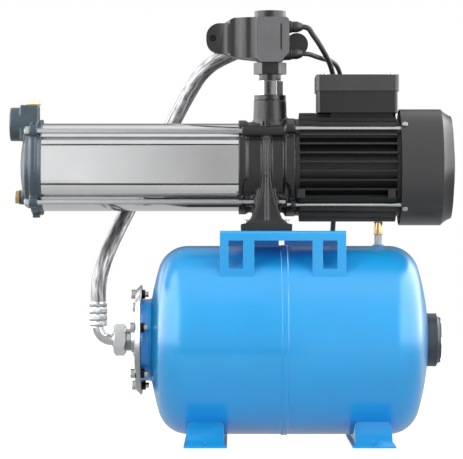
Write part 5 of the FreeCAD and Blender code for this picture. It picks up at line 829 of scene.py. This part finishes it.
def braided_tube(name, path, radius, bundles, material):
    """Tube about a path. With a the turn in bundles and b the length in bundle pitches, its radius rises by
    cos(pi (a + b)) ** 2 where one family of bundles lies on top and by cos(pi (a - b)) ** 2 where the other does."""
    spine, run = even_path(path, 0.8 * mm)
    tangent = np.gradient(spine, axis=0)
    tangent /= np.linalg.norm(tangent, axis=1, keepdims=True)
    side = np.cross(tangent, (0.0, 1.0, 0.0))
    side /= np.linalg.norm(side, axis=1, keepdims=True)
    up = np.cross(tangent, side)
    around, braid_deep = 96, 0.45 * mm
    turn = np.arange(around) / around
    pitch = 2 * math.pi * radius / bundles
    a, b = bundles * turn[None, :], (run / pitch)[:, None]
    over = 0.5 + 0.5 * np.tanh(3 * np.sin(math.pi * (a + b)) * np.sin(math.pi * (a - b)))
    height = over * np.cos(math.pi * (a + b)) ** 2 + (1 - over) * np.cos(math.pi * (a - b)) ** 2
    reach = (radius - braid_deep + braid_deep * height)[..., None]
    angle = (2 * math.pi * turn)[None, :, None]
    points = spine[:, None] + reach * (np.cos(angle) * side[:, None] + np.sin(angle) * up[:, None])
    rows = len(spine)
    faces = sheet_faces(rows, around, closed=True)
    uv = np.column_stack([np.tile(turn, rows), np.repeat(run, around)])
    return mesh_piece(name, points.reshape(-1, 3), faces[:, ::-1], uv, material, 180)


steel_braid = blank_material("stainless steel wire braid")
braid_uv = add(steel_braid, "ShaderNodeTexCoord").outputs["UV"]
braid_wires = add(steel_braid, "ShaderNodeTexNoise", {"Vector": add(steel_braid, "ShaderNodeMapping", {
    "Vector": braid_uv, "Scale": (24, 45, 1)}), "Scale": 1.0, "Detail": 5.0})
braid_tone = add(steel_braid, "ShaderNodeValToRGB", {"Fac": braid_wires})
braid_tone.color_ramp.elements[0].position = 0.35
braid_tone.color_ramp.elements[0].color = linear("505052")
braid_tone.color_ramp.elements[1].position = 0.62
braid_tone.color_ramp.elements[1].color = linear("a2a2a4")
braid_bump = add(steel_braid, "ShaderNodeBump", {"Height": braid_wires, "Strength": 0.5, "Distance": 0.4 * mm})
add(steel_braid, "ShaderNodeOutputMaterial", {"Surface": add(steel_braid, "ShaderNodeBsdfPrincipled", {
    "Base Color": braid_tone, "Metallic": 1.0, "Roughness": 0.4, "Normal": braid_bump})})

hose_route = [(-283, 0, 209), (-283, 0, 234), (-278, 4, 259), (-269, 16, 285), (-257, 37, 313), (-243, 62, 342),
              (-227, 82, 374), (-207, 92, 413), (-182, 92, 463), (-153, 84, 518), (-127, 76, 560),
              (-90.24, 70, 580.98), (-66.74, 70, 589.53)]
hose_line = laid_line("hose_line", hose_route)
hose_path = points_along(hose_line)
bpy.data.objects.remove(hose_line)
hose = braided_tube("braided_hose_skin", hose_path, hose_radius, 24, steel_braid)
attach(hose, "frame")
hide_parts("braided_hose")

# Pump lead and mains lead.
# Round rubber-sheathed leads. The pump lead loops from the controller's lower gland into the terminal box; the
# mains lead drops behind the motor and the tank, and its spare length is coiled on the floor beside its plug.
pump_lead_radius, mains_lead_radius = 3.6 * mm, 4.0 * mm
lead_sheath = moulded("black rubber lead sheath", "2b2b2c", 0.48, 2.0, 0.03)
pump_lead_route = [(21, 0, 578.2), (30, 0, 578.2), (39, 8, 575.5), (48, 24, 573.5), (57, 44, 572.5),
                   (66, 61, 571.5), (75, 75, 566), (81, 86, 554), (83.5, 95, 538), (80, 103, 523), (71, 109, 510),
                   (60, 112, 502), (50.5, 106, 498), (47, 94, 498.5), (50, 81, 501.5), (56.5, 67, 504.6)]
pump_lead = laid_line("pump_lead_skin", pump_lead_route, pump_lead_radius)
pump_lead.data.materials.append(lead_sheath)
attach(pump_lead, "frame")
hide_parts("pump_lead")

mains_route = [(21, 0, 618.2), (30, 0, 618.2), (36, 4, 608), (45, 9, 596), (53, 16, 583.5), (61, 29, 570.5),
               (67, 48, 557), (71.5, 64, 540), (76, 83, 509), (78.5, 101, 466), (78, 120, 413), (74, 131, 357),
               (71, 140, 306), (69, 147, 254), (68, 152, 202), (69, 155, 152), (69, 156, 106), (66, 156, 69),
               (57, 157, 39), (42, 159, 18), (22, 160, 6)]
coil_at, coil_steps = (0, 208), 16
# the turns run clockwise: one outer and one inner turn on the floor, then half a turn that lies on both
coil_turns = np.arange(0, int(2.5 * coil_steps) + 1) / coil_steps
outwards = np.interp(coil_turns, [0, 0.85, 1.05, 1.85, 2.05, 2.5], [48.6, 48.6, 40.3, 40.3, 44.5, 48.3])
lying = np.interp(coil_turns, [0, 1.8, 2.05, 2.5], [4.0, 4.0, 11.0, 11.0])
coil_angle = -math.pi / 2 - 2 * math.pi * coil_turns
coil_points = np.column_stack([coil_at[0] + outwards * np.cos(coil_angle), coil_at[1] + outwards * np.sin(coil_angle),
                               lying])
mains_route += [tuple(p) for p in coil_points] + [(12, 256, 10.93)]
mains_lead = laid_line("mains_lead_skin", mains_route, mains_lead_radius)
mains_lead.data.materials.append(lead_sheath)
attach(mains_lead, "frame")
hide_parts("mains_lead", "mains_coil")

plug_rubber = moulded("black moulded plug rubber", "232324", 0.5, 0.9, 0.05)
plug = softened("mains_plug", 1.5, plug_rubber, segments=3)
